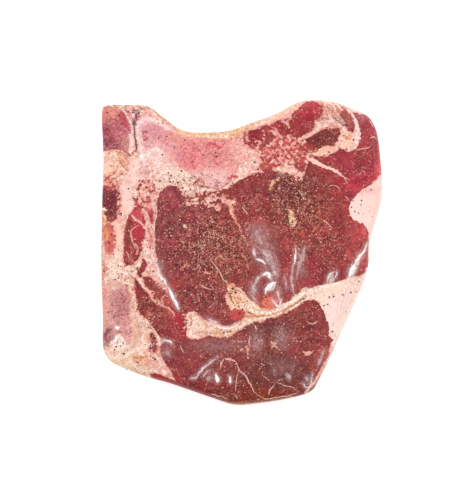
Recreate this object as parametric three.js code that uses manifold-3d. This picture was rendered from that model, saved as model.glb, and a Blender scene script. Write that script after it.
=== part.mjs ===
// A marinated bone-in rump steak in a skin-tight clear film, lying flat with its cut face up.
// Millimetres, +Z up. The origin is the middle of the flat underside.
// The film has no solid of its own: its wide creases and the coarse pepper under it are relief
// in the meat. Three sawn bones run through the full thickness of the slice.

import * as THREE from "three";
import { mergeVertices } from "three/addons/utils/BufferGeometryUtils.js";
import Module from "manifold-3d";

const wasm = await Module();
wasm.setup();

// Sizes of the slice.
const THICKNESS = 18.6;
const SOFT_ROUND = { across: 5.5, down: 9 };
const SAWN_ROUND = { across: 1.4, down: 2.2 };
const SAWN_SIDE_X = -84;
const SOFT_SIDES_X = -74;
const UNDER_INSET = 2.4;
const UNDER_ROUND = 4;
const RIPPLE = 0.22;
const BONE_GAP = 0.3;

// Sizes of the facets. The steps are the distances of the first rings from the outline.
const EDGE_FACETS = 166;
const FACET = 3.7;
const EDGE_STEPS = [0, 0.25, 0.9, 2.1, 4];
const SIDE_LEVELS = [0, 0.8, 2, 4, 7];
const MEAN_RADIUS = 95;
const BONE_FACETS = 40;

// The coarse pepper: grains shrink from the largest to the smallest.
const GRAINS = 64;
const GRAIN_LARGEST = 1.15;
const GRAIN_SMALLEST = 0.75;
const GRAIN_CLEARANCE = 3;
const GRAIN_SEED = 7;

// The outline seen from above, anticlockwise, as [x, y] where each run turns.
const OUTLINE = {
  sawnSide: [[-87.2, 86.5], [-86.5, 62], [-87.4, 24], [-87.8, -10], [-86.7, -38], [-86.6, -58]],
  lowerSide: [
    [-84, -65.4], [-77.4, -70.8], [-61, -77.4], [-45, -81.8], [-20, -90.4], [-5, -95], [10, -94.2],
    [29, -91.2], [42.6, -87],
  ],
  outerSide: [
    [48.5, -78.8], [60, -55], [71.8, -29.2], [78.6, -10.4], [79.6, 6], [84.6, 22.5], [87.8, 36],
    [86.8, 54], [84.8, 72.4],
  ],
  upperSide: [
    [81.4, 81.4], [76, 86.8], [66, 91], [57, 94], [46, 95.2], [35, 93.8], [20, 86.2], [4, 80.4],
    [-9, 76], [-25, 75], [-37, 76.4], [-48.5, 84.2], [-58.6, 91.4], [-73, 92.2], [-83.8, 91.6],
  ],
};

// The bones' outlines, clockwise. Two of them run out past the sawn side, which cuts them off.
const BONES = {
  sacrum_bone: {
    colour: 0xb5707f,
    outline: [
      [-95, 89], [-80, 89.4], [-74.6, 88], [-71.4, 83.4], [-69.2, 77], [-68.4, 70], [-68.6, 64],
      [-72, 62.2], [-79, 63.8], [-95, 64],
    ],
  },
  hip_bone: {
    colour: 0xe3a0a0,
    outline: [
      [-65.2, 79.4], [-62.6, 83], [-58.4, 84.4], [-53.6, 82.8], [-49, 79.4], [-43.6, 75.6],
      [-36, 72.4], [-26, 71.2], [-15, 70.8], [-6, 70.6], [-0.8, 67.6], [0.8, 62.4], [-0.8, 55],
      [-4.4, 47.6], [-10, 41], [-18, 38.6], [-25.6, 41.4], [-31, 47], [-38.6, 52.4],
      [-47.4, 55.4], [-56, 56.8], [-61, 58.8], [-63.2, 65], [-64.6, 72.4],
    ],
  },
  spine_bone: {
    colour: 0xb97f88,
    outline: [
      [-95, -22.6], [-83, -18.8], [-77, -17.8], [-72.2, -20.8], [-69, -26.6], [-67, -33],
      [-65.2, -42], [-62.8, -48.6], [-62.8, -57.4], [-67.8, -61.6], [-76, -58.6], [-95, -59.6],
    ],
  },
};

// Muscles swell a little between the seams: middle, half-widths and rise of each swelling.
const SWELLINGS = {
  eyeMuscle: { at: [8, 4], across: 58, along: 44, rise: 0.9 },
  lowerMuscle: { at: [8, -66], across: 50, along: 26, rise: 0.8 },
  outerMuscle: { at: [66, 60], across: 26, along: 40, rise: 0.5 },
  upperMuscle: { at: [34, 78], across: 26, along: 16, rise: 0.4 },
  wedgeMuscle: { at: [-52, -42], across: 13, along: 26, rise: 0.5 },
  pocketMuscle: { at: [-67, 5], across: 7, along: 14, rise: 0.4 },
};

// Soft fat gives way at the sides: middle, half-widths and rise, which is below zero.
const HOLLOWS = {
  outerFat: { at: [80, 28], across: 17, along: 20, rise: -1.6 },
  cornerFat: { at: [66, -36], across: 20, along: 22, rise: -1.8 },
  lowerFat: { at: [-72, -68], across: 20, along: 12, rise: -1 },
};

// Seams of fat lie a little lower than the muscles on either side.
const SEAMS = {
  lowerSeam: {
    depth: 0.8,
    halfWidth: 3,
    path: [
      [-38, -36], [-33, -48], [-27, -53], [-13, -51.4], [-1, -46], [16, -40], [30, -31.5],
      [45, -22.4], [61, -18.6], [75, -15.4],
    ],
  },
  innerSeam: { depth: 0.5, halfWidth: 2.4, path: [[-7.6, -20], [0.6, -28.4], [10, -36], [24, -34]] },
  eyeSeam: {
    depth: 0.7,
    halfWidth: 2.6,
    path: [[-49, 42], [-53, 28], [-54, 11], [-53, -5], [-48, -20], [-41.6, -33], [-36, -37]],
  },
  eyeTop: {
    depth: 0.5,
    halfWidth: 4,
    path: [[-51, 39], [-42, 41], [-34, 31], [-13, 30], [-4, 39], [12, 50], [36, 45]],
  },
  outerSeam: { depth: 0.6, halfWidth: 2.2, path: [[36, 62.4], [45.4, 57], [58, 50.6], [67, 43]] },
  ligament: { depth: 0.5, halfWidth: 3.4, path: [[-69.6, 54.4], [-73, 42], [-77, 17], [-79, 1.6]] },
  wedgeSeam: {
    depth: 0.6,
    halfWidth: 2.2,
    path: [[-63.5, -14.6], [-52.4, -31.4], [-41.6, -39], [-41, -50], [-37, -61.4]],
  },
};

// The film's wide creases stand up from the surface.
const CREASES = {
  outerStreak: { width: 2.6, rise: 1, path: [[77, 4], [73.4, 0], [70, -5], [67.2, -10], [65.8, -18]] },
  longStreak: { width: 1.8, rise: 0.8, path: [[65.8, -18.6], [62.6, -30], [59, -45]] },
  teardrop: { width: 2.4, rise: 0.9, path: [[58.6, -11], [54, -15.4], [52, -20]] },
  upperArc: { width: 1.8, rise: 0.8, path: [[8, -20], [11.2, -14.8], [15, -12.8], [18, -13]] },
  lowerArc: { width: 2.2, rise: 0.9, path: [[14.8, -25], [16.2, -21.6], [19.4, -19.6]] },
  upright: { width: 2, rise: 0.9, path: [[33.6, 3.4], [32.2, -4], [31, -12.4], [31, -23]] },
  broadFold: { width: 3, rise: 0.7, path: [[7, 1.6], [12.4, 4.4], [17.6, -1.8], [21, -8], [21.6, -17]] },
  eyeFold: { width: 2, rise: 0.8, path: [[-53.4, -13.6], [-48, -20.4], [-44.8, -26.6], [-36.4, -38]] },
  lowerHook: { width: 1.8, rise: 0.8, path: [[37.4, -80.6], [41, -83.4], [42.8, -79.4], [42.8, -73]] },
  lowerFold: { width: 1.8, rise: 0.7, path: [[-28.6, -77.4], [-24.2, -72.4], [-15, -65.2]] },
};
const CREASE_ROOT = 0.9;
const CREASE_STATIONS = 10;

// The dark cleft between the sacrum and the hip bone.
const CLEFT = { width: 1.2, rise: 1, path: [[-66.8, 81], [-66.7, 73], [-66, 67], [-65.4, 62]] };
const CLEFT_ROOT = 1.5;

function curveThrough(points, closed) {
  const turns = points.map(([x, y]) => new THREE.Vector3(x, y, 0));
  return new THREE.CatmullRomCurve3(turns, closed, "catmullrom", 0.5);
}

// The distance from (x, y) to the nearest point of a run of straight pieces.
function distanceToRun(x, y, run) {
  let nearest = Infinity;
  for (let i = 1; i < run.length; i++) {
    const a = run[i - 1];
    const dx = run[i].x - a.x;
    const dy = run[i].y - a.y;
    const along = ((x - a.x) * dx + (y - a.y) * dy) / (dx * dx + dy * dy);
    const t = THREE.MathUtils.clamp(along, 0, 1);
    nearest = Math.min(nearest, Math.hypot(x - a.x - t * dx, y - a.y - t * dy));
  }
  return nearest;
}

// Whether (x, y) lies within a closed run: a line from it crosses the run an odd number of times.
function within(x, y, run) {
  let inside = false;
  for (let i = 1; i < run.length; i++) {
    const [a, b] = [run[i - 1], run[i]];
    const crosses = a.y > y !== b.y > y;
    if (crosses && x < a.x + ((y - a.y) * (b.x - a.x)) / (b.y - a.y)) inside = !inside;
  }
  return inside;
}

const outlineCurve = curveThrough(Object.values(OUTLINE).flat(), true);
const outlineRun = outlineCurve.getSpacedPoints(4 * EDGE_FACETS);
const boneRuns = Object.values(BONES).map(({ outline }) => curveThrough(outline, true).getPoints(120));
const humps = [...Object.values(SWELLINGS), ...Object.values(HOLLOWS)];
const seams = Object.values(SEAMS).map(({ depth, halfWidth, path }) => ({
  depth,
  halfWidth,
  run: curveThrough(path, false).getPoints(24),
}));

// A soft hump over an ellipse: its full rise in the middle and nothing at the edge.
function humpHeight(x, y, { at, across, along, rise }) {
  const q = ((x - at[0]) / across) ** 2 + ((y - at[1]) / along) ** 2;
  return q < 1 ? rise * (1 - q) ** 2 : 0;
}

// The height of the cut face well inside the outline.
function faceHeight(x, y) {
  let z = THICKNESS;
  z += RIPPLE * (Math.sin(x / 9 + y / 17) + Math.sin(y / 11 - x / 23 + 1));
  for (const hump of humps) z += humpHeight(x, y, hump);
  for (const { depth, halfWidth, run } of seams) {
    const away = distanceToRun(x, y, run) / halfWidth;
    z -= depth * Math.exp(-away * away);
  }
  return z;
}

// The top surface, rounded over towards the outline: tightly at the sawn side, softly elsewhere.
function topHeight(x, y) {
  const soft = THREE.MathUtils.smoothstep(x, SAWN_SIDE_X, SOFT_SIDES_X);
  const across = THREE.MathUtils.lerp(SAWN_ROUND.across, SOFT_ROUND.across, soft);
  const down = THREE.MathUtils.lerp(SAWN_ROUND.down, SOFT_ROUND.down, soft);
  const left = 1 - Math.min(distanceToRun(x, y, outlineRun) / across, 1);
  return faceHeight(x, y) - down * (1 - Math.sqrt(1 - left * left));
}

// Points of the outline drawn in by a number of millimetres, all at one height.
function sideRing(inset, z) {
  return Array.from({ length: EDGE_FACETS }, (_, i) => {
    const at = outlineCurve.getPointAt(i / EDGE_FACETS);
    const run = outlineCurve.getTangentAt(i / EDGE_FACETS);
    return new THREE.Vector3(at.x - run.y * inset, at.y + run.x * inset, z);
  });
}

// Points of the outline shrunk towards the middle, on the top surface.
function topRing(scale) {
  const count = Math.max(6, Math.round(EDGE_FACETS * scale));
  return Array.from({ length: count }, (_, i) => {
    const at = outlineCurve.getPointAt(i / count).multiplyScalar(scale);
    return at.setZ(topHeight(at.x, at.y));
  });
}

// The rings of the slice, from the underside up over the edge to the middle of the top.
function sliceRings() {
  const side = SIDE_LEVELS.map((z) => {
    const left = 1 - Math.min(z / UNDER_ROUND, 1);
    return sideRing(UNDER_INSET * (1 - Math.sqrt(1 - left * left)), z);
  });
  const edge = EDGE_STEPS.map((step) => topRing(1 - step / MEAN_RADIUS));
  const flatReach = MEAN_RADIUS - EDGE_STEPS.at(-1);
  const count = Math.floor(flatReach / FACET);
  const top = Array.from({ length: count - 1 }, (_, i) =>
    topRing(((count - 1 - i) / count) * (flatReach / MEAN_RADIUS)),
  );
  return [...side, ...edge, ...top];
}

// Triangles between two rings of points that may differ in number.
function stitch(lowerCount, upperCount, lowerStart, upperStart, faces) {
  let i = 0;
  let j = 0;
  while (i < lowerCount || j < upperCount) {
    const a = lowerStart + (i % lowerCount);
    const b = upperStart + (j % upperCount);
    if (j === upperCount || (i < lowerCount && (i + 1) / lowerCount <= (j + 1) / upperCount)) {
      i++;
      faces.push(a, lowerStart + (i % lowerCount), b);
    } else {
      j++;
      faces.push(a, upperStart + (j % upperCount), b);
    }
  }
}

// A closed surface through rings of points, with a middle point at each end.
function ringSurface(rings, firstMiddle, lastMiddle) {
  const faces = [];
  const first = rings[0].length;
  for (let i = 0; i < first; i++) faces.push(0, 1 + ((i + 1) % first), 1 + i);
  let start = 1;
  for (let k = 1; k < rings.length; k++) {
    const next = start + rings[k - 1].length;
    stitch(rings[k - 1].length, rings[k].length, start, next, faces);
    start = next;
  }
  const last = rings.at(-1).length;
  for (let i = 0; i < last; i++) faces.push(start + i, start + ((i + 1) % last), start + last);
  const points = [firstMiddle, ...rings.flat(), lastMiddle];
  return new THREE.BufferGeometry().setFromPoints(points).setIndex(faces);
}

function solidOf(geometry) {
  const bare = geometry.clone();
  bare.deleteAttribute("normal");
  bare.deleteAttribute("uv");
  const merged = mergeVertices(bare, 1e-4);
  return new wasm.Manifold(
    new wasm.Mesh({
      numProp: 3,
      vertProperties: merged.attributes.position.array,
      triVerts: new Uint32Array(merged.index.array),
    }),
  );
}

function slice() {
  const underMiddle = new THREE.Vector3(0, 0, 0);
  const topMiddle = new THREE.Vector3(0, 0, topHeight(0, 0));
  return solidOf(ringSurface(sliceRings(), underMiddle, topMiddle));
}

// A lens-shaped bar along a path on the top surface, pointed at both ends. It stands up from the
// surface by its rise and reaches down below it by twice its root.
function lensAlong({ width, rise, path }, root) {
  const curve = curveThrough(path, false);
  const section = [[1, 0], [0.5, 0.8], [0, 1], [-0.5, 0.8], [-1, 0], [0, -1]];
  const onFace = ({ x, y }, z) => new THREE.Vector3(x, y, topHeight(x, y) + z);
  const rings = [];
  for (let k = 1; k < CREASE_STATIONS; k++) {
    const at = curve.getPointAt(k / CREASE_STATIONS);
    const run = curve.getTangentAt(k / CREASE_STATIONS);
    const swell = Math.sqrt(Math.sin((Math.PI * k) / CREASE_STATIONS));
    const ring = section.map(([side, up]) => {
      const out = (side * swell * width) / 2;
      const z = up < 0 ? -2 * root : up * swell * (rise + root) - root;
      return onFace({ x: at.x - run.y * out, y: at.y + run.x * out }, z);
    });
    rings.push(ring);
  }
  const [first, last] = [0, 1].map((end) => onFace(curve.getPointAt(end), -root));
  return solidOf(ringSurface(rings, first, last));
}

function seededRandom(seed) {
  let state = seed;
  return () => {
    state = (state * 1664525 + 1013904223) % 4294967296;
    return state / 4294967296;
  };
}

// Evenly spread places that keep clear of the bones and of the rounded edge.
function grainPlaces() {
  const offBone = (x, y, run) => distanceToRun(x, y, run) > GRAIN_CLEARANCE && !within(x, y, run);
  const places = [];
  for (let i = 1; places.length < GRAINS; i++) {
    const x = -88 + 176 * ((i * 0.7548777) % 1);
    const y = -95 + 190 * ((i * 0.5698403) % 1);
    const onFace = within(x, y, outlineRun) && distanceToRun(x, y, outlineRun) > SOFT_ROUND.across;
    if (onFace && boneRuns.every((run) => offBone(x, y, run))) places.push([x, y]);
  }
  return places;
}

// Cracked peppercorns, half sunk in the surface.
function pepper() {
  const random = seededRandom(GRAIN_SEED);
  return grainPlaces().map(([x, y], i) => {
    const radius = THREE.MathUtils.lerp(GRAIN_LARGEST, GRAIN_SMALLEST, i / (GRAINS - 1));
    const grain = new THREE.IcosahedronGeometry(radius, 0);
    grain.scale(1, 0.7 + 0.3 * random(), 0.6 + 0.3 * random());
    grain.rotateX(Math.PI * random());
    grain.rotateZ(2 * Math.PI * random());
    grain.translate(x, y, topHeight(x, y) + 0.15 * radius);
    return solidOf(grain);
  });
}

// An upright prism through the slice, its outline grown outwards by a number of millimetres.
function prism(outline, grow) {
  const curve = curveThrough(outline, true);
  const corners = Array.from({ length: BONE_FACETS }, (_, i) => {
    const at = curve.getPointAt(i / BONE_FACETS);
    const run = curve.getTangentAt(i / BONE_FACETS);
    return new THREE.Vector2(at.x - run.y * grow, at.y + run.x * grow);
  });
  const block = new THREE.ExtrudeGeometry(new THREE.Shape(corners), {
    depth: 2 * THICKNESS,
    bevelEnabled: false,
  });
  return solidOf(block.translate(0, 0, -THICKNESS / 2));
}

function meshOf(solid, name, colour, roughness) {
  const { vertProperties, triVerts } = solid.getMesh();
  const geometry = new THREE.BufferGeometry()
    .setAttribute("position", new THREE.BufferAttribute(vertProperties, 3))
    .setIndex(new THREE.BufferAttribute(triVerts, 1));
  geometry.computeVertexNormals();
  const material = new THREE.MeshStandardMaterial({ color: colour, roughness, metalness: 0 });
  const mesh = new THREE.Mesh(geometry, material);
  mesh.name = name;
  return mesh;
}

// Puts the middle of the whole outline over the origin.
function centred(group) {
  const middle = new THREE.Box3().setFromObject(group).getCenter(new THREE.Vector3());
  for (const mesh of group.children) mesh.geometry.translate(-middle.x, -middle.y, 0);
  return group;
}

function steak() {
  const group = new THREE.Group();
  const whole = slice();
  const creases = Object.values(CREASES).map((crease) => lensAlong(crease, CREASE_ROOT));
  let meat = wasm.Manifold.union([whole, ...creases, ...pepper()]);
  meat = meat.subtract(lensAlong(CLEFT, CLEFT_ROOT));
  for (const [name, { colour, outline }] of Object.entries(BONES)) {
    meat = meat.subtract(prism(outline, BONE_GAP));
    group.add(meshOf(whole.intersect(prism(outline, 0)), name, colour, 0.5));
  }
  group.add(meshOf(meat, "steak_meat", 0xa04048, 0.45));
  return centred(group);
}

export default steak();
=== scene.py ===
"""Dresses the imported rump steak: sawn bones, marbled meat, pepper and a skin-tight clear film.

Lengths are millimetres until a mesh is made. Places on the cut face are given as pixels of the
photo where they follow it, and from_photo turns them into millimetres of the model's own frame.
A path is a list of x and y in turn. A zone is an ellipse: x and y of its middle and its
half-widths along x and y, and then what it gives. A colour is red, green and blue of 0 to 255.
"""

import bmesh
import bpy
import numpy as np
from bpy.props import FloatProperty, FloatVectorProperty, IntProperty, PointerProperty
from bpy.types import Operator, Panel, PropertyGroup
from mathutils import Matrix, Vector


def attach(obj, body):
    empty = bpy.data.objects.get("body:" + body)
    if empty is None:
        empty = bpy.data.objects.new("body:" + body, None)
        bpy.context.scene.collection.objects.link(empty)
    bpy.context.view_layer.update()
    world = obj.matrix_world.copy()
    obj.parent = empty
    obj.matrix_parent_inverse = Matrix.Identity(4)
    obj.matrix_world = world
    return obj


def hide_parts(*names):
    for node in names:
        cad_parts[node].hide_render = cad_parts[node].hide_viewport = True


bl_info = {
    "name": "Marinated rump steak",
    "version": (1, 0, 0),
    "blender": (4, 5, 0),
    "location": "3D View > Sidebar > Steak",
    "description": "Builds the steak's meat, bones, seasoning and clear film over its solids",
    "category": "Add Mesh",
}

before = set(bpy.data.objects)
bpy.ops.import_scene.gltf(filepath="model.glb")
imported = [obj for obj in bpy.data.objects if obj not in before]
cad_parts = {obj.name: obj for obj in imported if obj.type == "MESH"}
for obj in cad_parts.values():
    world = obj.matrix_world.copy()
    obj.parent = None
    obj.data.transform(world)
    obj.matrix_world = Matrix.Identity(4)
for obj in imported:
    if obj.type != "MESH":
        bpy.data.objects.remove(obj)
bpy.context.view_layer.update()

MM = 0.001
PIXEL = 0.6223  # millimetres to a pixel of the photo
PHOTO_ORIGIN = (242.05, 252.35)  # the pixel over the model's origin
PHOTO_CENTRE, PHOTO_HEIGHT = (225, 242.5), 485

# The solids' own sizes, as in their source.
THICKNESS = 18.6
SOFT_ROUND = (5.5, 9.0)  # across, down
SAWN_ROUND = (1.4, 2.2)
SAWN_SIDE_X, SOFT_SIDES_X = -84.0, -74.0
UNDER_INSET, UNDER_ROUND = 2.4, 4.0
RIPPLE = 0.22
CENTRING = np.array([-0.03, 0.015])
SLANT_FROM = 5.5  # how far below the face muscles and fat start to run at a slant
SLANT, SLANT_SWAY = 0.009, 0.3
# Painted shade: the lean's and the fat's colours are darkened over the rounded edge and down the
# sides.
LEAN_SHADED_AT_EDGE = np.array([0.92, 0.5, 0.42])  # the colours deepen where the face rounds over
FAT_SHADED_AT_EDGE = np.array([0.97, 0.86, 0.8])
SIDE_GAP = 0.16  # from the slice's sawn side to the bones' own
SAWN_FROM = -80  # left of it the outline is the sawn side

# Spacing of the rings of points that make up a slab.
AROUND = 720  # points of an outline before its rings are spaced out
UNDER_LEVELS = (0, 0.35, 0.9, 1.6, 2.6, 4.0)  # heights where the wall rounds under
PLUG_LEVELS, PLUG_CHAMFER = (0, 0.5), 0.4  # the same for a bone, whose lower edge is cut off
WALL_RINGS = 7
RIM_STEPS = (0, 0.08, 0.22, 0.42, 0.7, 1.05, 1.5)  # inwards from the rim, where the top rounds
FACE_FROM = 2.1  # from here on the rings of the top are evenly spaced

FIELD_REACH, MARK_REACH = 12.0, 4.0  # how far from an edge its distance is worked out
AT_ONCE = 4_000_000  # distances worked out at a time
NOISE_CELLS = 256

OUTLINE = [
    -87.2, 86.5, -86.5, 62, -87.4, 24, -87.8, -10, -86.7, -38, -86.6, -58, -84, -65.4, -77.4, -70.8,
    -61, -77.4, -45, -81.8, -20, -90.4, -5, -95, 10, -94.2, 29, -91.2, 42.6, -87, 48.5, -78.8,
    60, -55, 71.8, -29.2, 78.6, -10.4, 79.6, 6, 84.6, 22.5, 87.8, 36, 86.8, 54, 84.8, 72.4,
    81.4, 81.4, 76, 86.8, 66, 91, 57, 94, 46, 95.2, 35, 93.8, 20, 86.2, 4, 80.4, -9, 76, -25, 75,
    -37, 76.4, -48.5, 84.2, -58.6, 91.4, -73, 92.2, -83.8, 91.6,
]

BONES = {
    "sacrum": [-95, 89, -80, 89.4, -74.6, 88, -71.4, 83.4, -69.2, 77, -68.4, 70, -68.6, 64,
      -72, 62.2, -79, 63.8, -95, 64],
    "hip": [-65.2, 79.4, -62.6, 83, -58.4, 84.4, -53.6, 82.8, -49, 79.4, -43.6, 75.6, -36, 72.4,
      -26, 71.2, -15, 70.8, -6, 70.6, -0.8, 67.6, 0.8, 62.4, -0.8, 55, -4.4, 47.6, -10, 41,
      -18, 38.6, -25.6, 41.4, -31, 47, -38.6, 52.4, -47.4, 55.4, -56, 56.8, -61, 58.8, -63.2, 65,
      -64.6, 72.4],
    "spine": [-95, -22.6, -83, -18.8, -77, -17.8, -72.2, -20.8, -69, -26.6, -67, -33, -65.2, -42,
      -62.8, -48.6, -62.8, -57.4, -67.8, -61.6, -76, -58.6, -95, -59.6],
}

# Humps and hollows of the cut face: zones in millimetres with their rise.
HUMPS = {
    "eye muscle": (8, 4, 58, 44, 0.9),
    "lower muscle": (8, -66, 50, 26, 0.8),
    "outer muscle": (66, 60, 26, 40, 0.5),
    "upper muscle": (34, 78, 26, 16, 0.4),
    "wedge muscle": (-52, -42, 13, 26, 0.5),
    "pocket muscle": (-67, 5, 7, 14, 0.4),
    "outer fat": (80, 28, 17, 20, -1.6),
    "corner fat": (66, -36, 20, 22, -1.8),
    "lower fat": (-72, -68, 20, 12, -1.0),
}

# Furrows along the seams of fat: depth, half-width and path.
FURROWS = {
    "lower seam": (0.8, 3, [-38, -36, -33, -48, -27, -53, -13, -51.4, -1, -46, 16, -40, 30, -31.5,
      45, -22.4, 61, -18.6, 75, -15.4]),
    "inner seam": (0.5, 2.4, [-7.6, -20, 0.6, -28.4, 10, -36, 24, -34]),
    "eye seam": (0.7, 2.6, [-49, 42, -53, 28, -54, 11, -53, -5, -48, -20, -41.6, -33, -36, -37]),
    "eye top": (0.5, 4, [-51, 39, -42, 41, -34, 31, -13, 30, -4, 39, 12, 50, 36, 45]),
    "outer seam": (0.6, 2.2, [36, 62.4, 45.4, 57, 58, 50.6, 67, 43]),
    "ligament": (0.5, 3.4, [-69.6, 54.4, -73, 42, -77, 17, -79, 1.6]),
    "wedge seam": (0.6, 2.2, [-63.5, -14.6, -52.4, -31.4, -41.6, -39, -41, -50, -37, -61.4]),
}

# The film's wide creases: width, rise and path.
CREASES = {
    "outer streak": (2.6, 1.0, [77, 4, 73.4, 0, 70, -5, 67.2, -10, 65.8, -18]),
    "long streak": (1.8, 0.8, [65.8, -18.6, 62.6, -30, 59, -45]),
    "teardrop": (2.4, 0.9, [58.6, -11, 54, -15.4, 52, -20]),
    "upper arc": (1.8, 0.8, [8, -20, 11.2, -14.8, 15, -12.8, 18, -13]),
    "lower arc": (2.2, 0.9, [14.8, -25, 16.2, -21.6, 19.4, -19.6]),
    "upright": (2.0, 0.9, [33.6, 3.4, 32.2, -4, 31, -12.4, 31, -23]),
    "broad fold": (3.0, 0.7, [7, 1.6, 12.4, 4.4, 17.6, -1.8, 21, -8, 21.6, -17]),
    "eye fold": (2.0, 0.8, [-53.4, -13.6, -48, -20.4, -44.8, -26.6, -36.4, -38]),
    "lower hook": (1.8, 0.8, [37.4, -80.6, 41, -83.4, 42.8, -79.4, 42.8, -73]),
    "lower fold": (1.8, 0.7, [-28.6, -77.4, -24.2, -72.4, -15, -65.2]),
}

# The narrow cleft between the sacrum and the hip bone.
CLEFT = [-66.8, 81, -66.7, 73, -66, 67, -65.4, 62]

# Muscles on the cut face, in pixels of the photo. All the rest is fat, sinew or bone.
MUSCLES = {
    "eye": [163, 190, 167, 186.5, 173, 185.5, 178, 187.5, 183, 194, 187, 200, 194, 197, 204, 193,
      214, 192, 222, 190, 230, 186.5, 237, 182, 245, 177.5, 251, 174.5, 260, 172.5, 271, 171.5,
      279, 172.5, 287, 175, 295, 178.5, 302, 180.5, 304.5, 175, 306, 168, 309, 161, 318, 165,
      326, 169, 339, 175, 348, 181, 362, 187, 355.5, 195, 351.4, 200, 347.9, 208.4, 349.4, 214.5,
      354.5, 220.6, 361.6, 223.7, 365.7, 228.8, 367.8, 235, 368.6, 243, 369.4, 252, 368.8, 262,
      366, 270, 360, 274.5, 349.6, 277, 344, 279.6, 334, 283, 326.7, 283, 317, 286, 305, 288.2,
      297.4, 293, 288.7, 300, 278.9, 305.6, 270.2, 308.8, 261, 308.4, 256, 304, 249, 298, 244, 292,
      237, 288, 231, 284, 227, 287, 226, 296, 228, 304, 231, 309.5, 238, 308.5, 244, 311,
      244.5, 315.5, 240, 320, 231, 325, 222, 325, 214.6, 321, 206, 321, 200, 316, 194, 311,
      184, 312, 178, 306, 172, 298, 166, 286, 161, 274, 157, 258, 155.5, 235, 156, 215, 158, 200],
    "outer": [307, 157, 318, 157, 326, 156.5, 335, 153, 340, 148.5, 346, 151.5, 352, 151,
      356.8, 146.5, 359, 139.5, 360, 133, 357.5, 126, 354.5, 119, 351.5, 113.5, 357, 113, 364, 115,
      370, 118, 376, 126, 380, 136, 382, 147, 384, 158, 384.5, 170, 379, 176, 370.8, 183.9,
      362.7, 189, 352, 190, 340, 186, 325, 175, 310, 165],
    "upper": [270.8, 125.7, 277, 121, 284, 120, 290, 116, 297, 110.5, 303, 104.5, 309.6, 101.2,
      316, 102, 321, 106, 322.9, 113, 318.8, 119.6, 315, 122, 313.7, 127.8, 309.6, 131.8,
      301.4, 136, 295.3, 139, 290, 136, 283, 138, 279, 134, 275, 128.8],
    "brown band": [301.4, 141, 309.6, 136.9, 317.8, 132.9, 325.9, 128.8, 332, 128.3, 338, 127.8,
      340.7, 130.8, 340.2, 134.9, 337, 141, 334, 145.2, 328, 146, 321.8, 147.7, 315.7, 150.2,
      310.6, 152.2, 305.5, 148.2, 301.4, 144],
    "marbled": [250, 132, 262, 127, 270, 127, 276, 133, 283, 139.5, 291, 137.5, 297, 141, 303, 147,
      308, 151.5, 303, 156, 306, 163, 303, 172, 297, 169, 291, 163, 283, 161.5, 277, 165, 271, 171,
      264, 172, 260, 166, 263, 158, 257, 150, 249, 147, 244, 140, 245, 134],
    "top corner": [338, 109, 345, 110.5, 349.5, 113.5, 352.5, 120, 354, 127, 352, 132.5, 347, 131,
      346, 126.5, 343, 121, 339, 115],
    "wedge": [135, 280, 138, 280, 145.3, 287.7, 150.7, 295.3, 157.2, 302.9, 165.9, 306,
      171.3, 309.4, 175.6, 315.9, 177, 322.4, 177, 330, 182, 338, 180, 350, 164, 347, 160, 338,
      155, 332, 150, 321, 143, 316, 138.8, 307, 135.5, 294],
    "lower": [160.5, 342, 168, 336, 176, 332, 188, 339, 198.4, 339, 207, 336.5, 214.6, 336,
      223.3, 337.6, 230.9, 335.6, 240.9, 329, 251.7, 323.4, 262.6, 321.6, 272.4, 318.4,
      278.9, 315.4, 288.7, 310.8, 297.4, 306.4, 303, 302.4, 309.6, 300.6, 317, 300.6, 320.2, 305.2,
      323.5, 311.7, 325.7, 318.3, 328.9, 327, 327.8, 334.6, 331, 337.8, 334, 342, 332, 350,
      328, 362, 322, 374, 315, 387, 308, 396, 294, 402, 270, 408, 250, 411, 234, 410, 220, 404,
      205, 397, 190, 392, 181, 389, 172.4, 373.3, 165.9, 362.5, 161.5, 353.8],
    "strip": [144.2, 275.8, 150.7, 278, 159.4, 285.5, 165.9, 291, 170.2, 296.4, 176.7, 307.2,
      182.1, 318, 186.5, 333.2, 190, 340, 182, 338, 178, 323.5, 176.7, 315.9, 170.2, 307.2,
      163.7, 305, 156, 297.4, 149.6, 289.9, 144.2, 281.2],
    "edge strip": [151, 373.4, 158, 373.8, 166, 376, 174, 380, 182, 384, 182, 393, 168, 387.6,
      158, 380.4],
    "pocket": [131, 213, 136, 206, 142, 205.5, 146, 212, 152, 210, 155, 215, 151, 221.5, 146, 221,
      144.5, 227, 146, 233, 141.5, 240, 143, 247, 141, 254, 137, 261, 130, 265.5, 124.5, 262,
      123.8, 252, 124.5, 240, 126, 228, 128.5, 219],
    "pocket fold": [143, 258.5, 147, 262, 145.5, 268, 142.5, 274.5, 140, 277, 138, 273, 141, 267],
    "sinew gap": [150, 334, 152.5, 333, 155.5, 339, 157, 346, 158, 351, 152, 352, 148.5, 349,
      152.5, 345.5, 151.5, 340],
    "left side": [103.5, 188, 109, 186, 115, 190, 118, 198, 117.5, 208, 115, 218, 111, 222,
      106, 221, 103.5, 212, 102.5, 200],
    "left low": [105.5, 222, 110, 224, 115, 227, 114, 238, 114, 248, 110, 254, 106, 247,
      104.5, 236],
}

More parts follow.
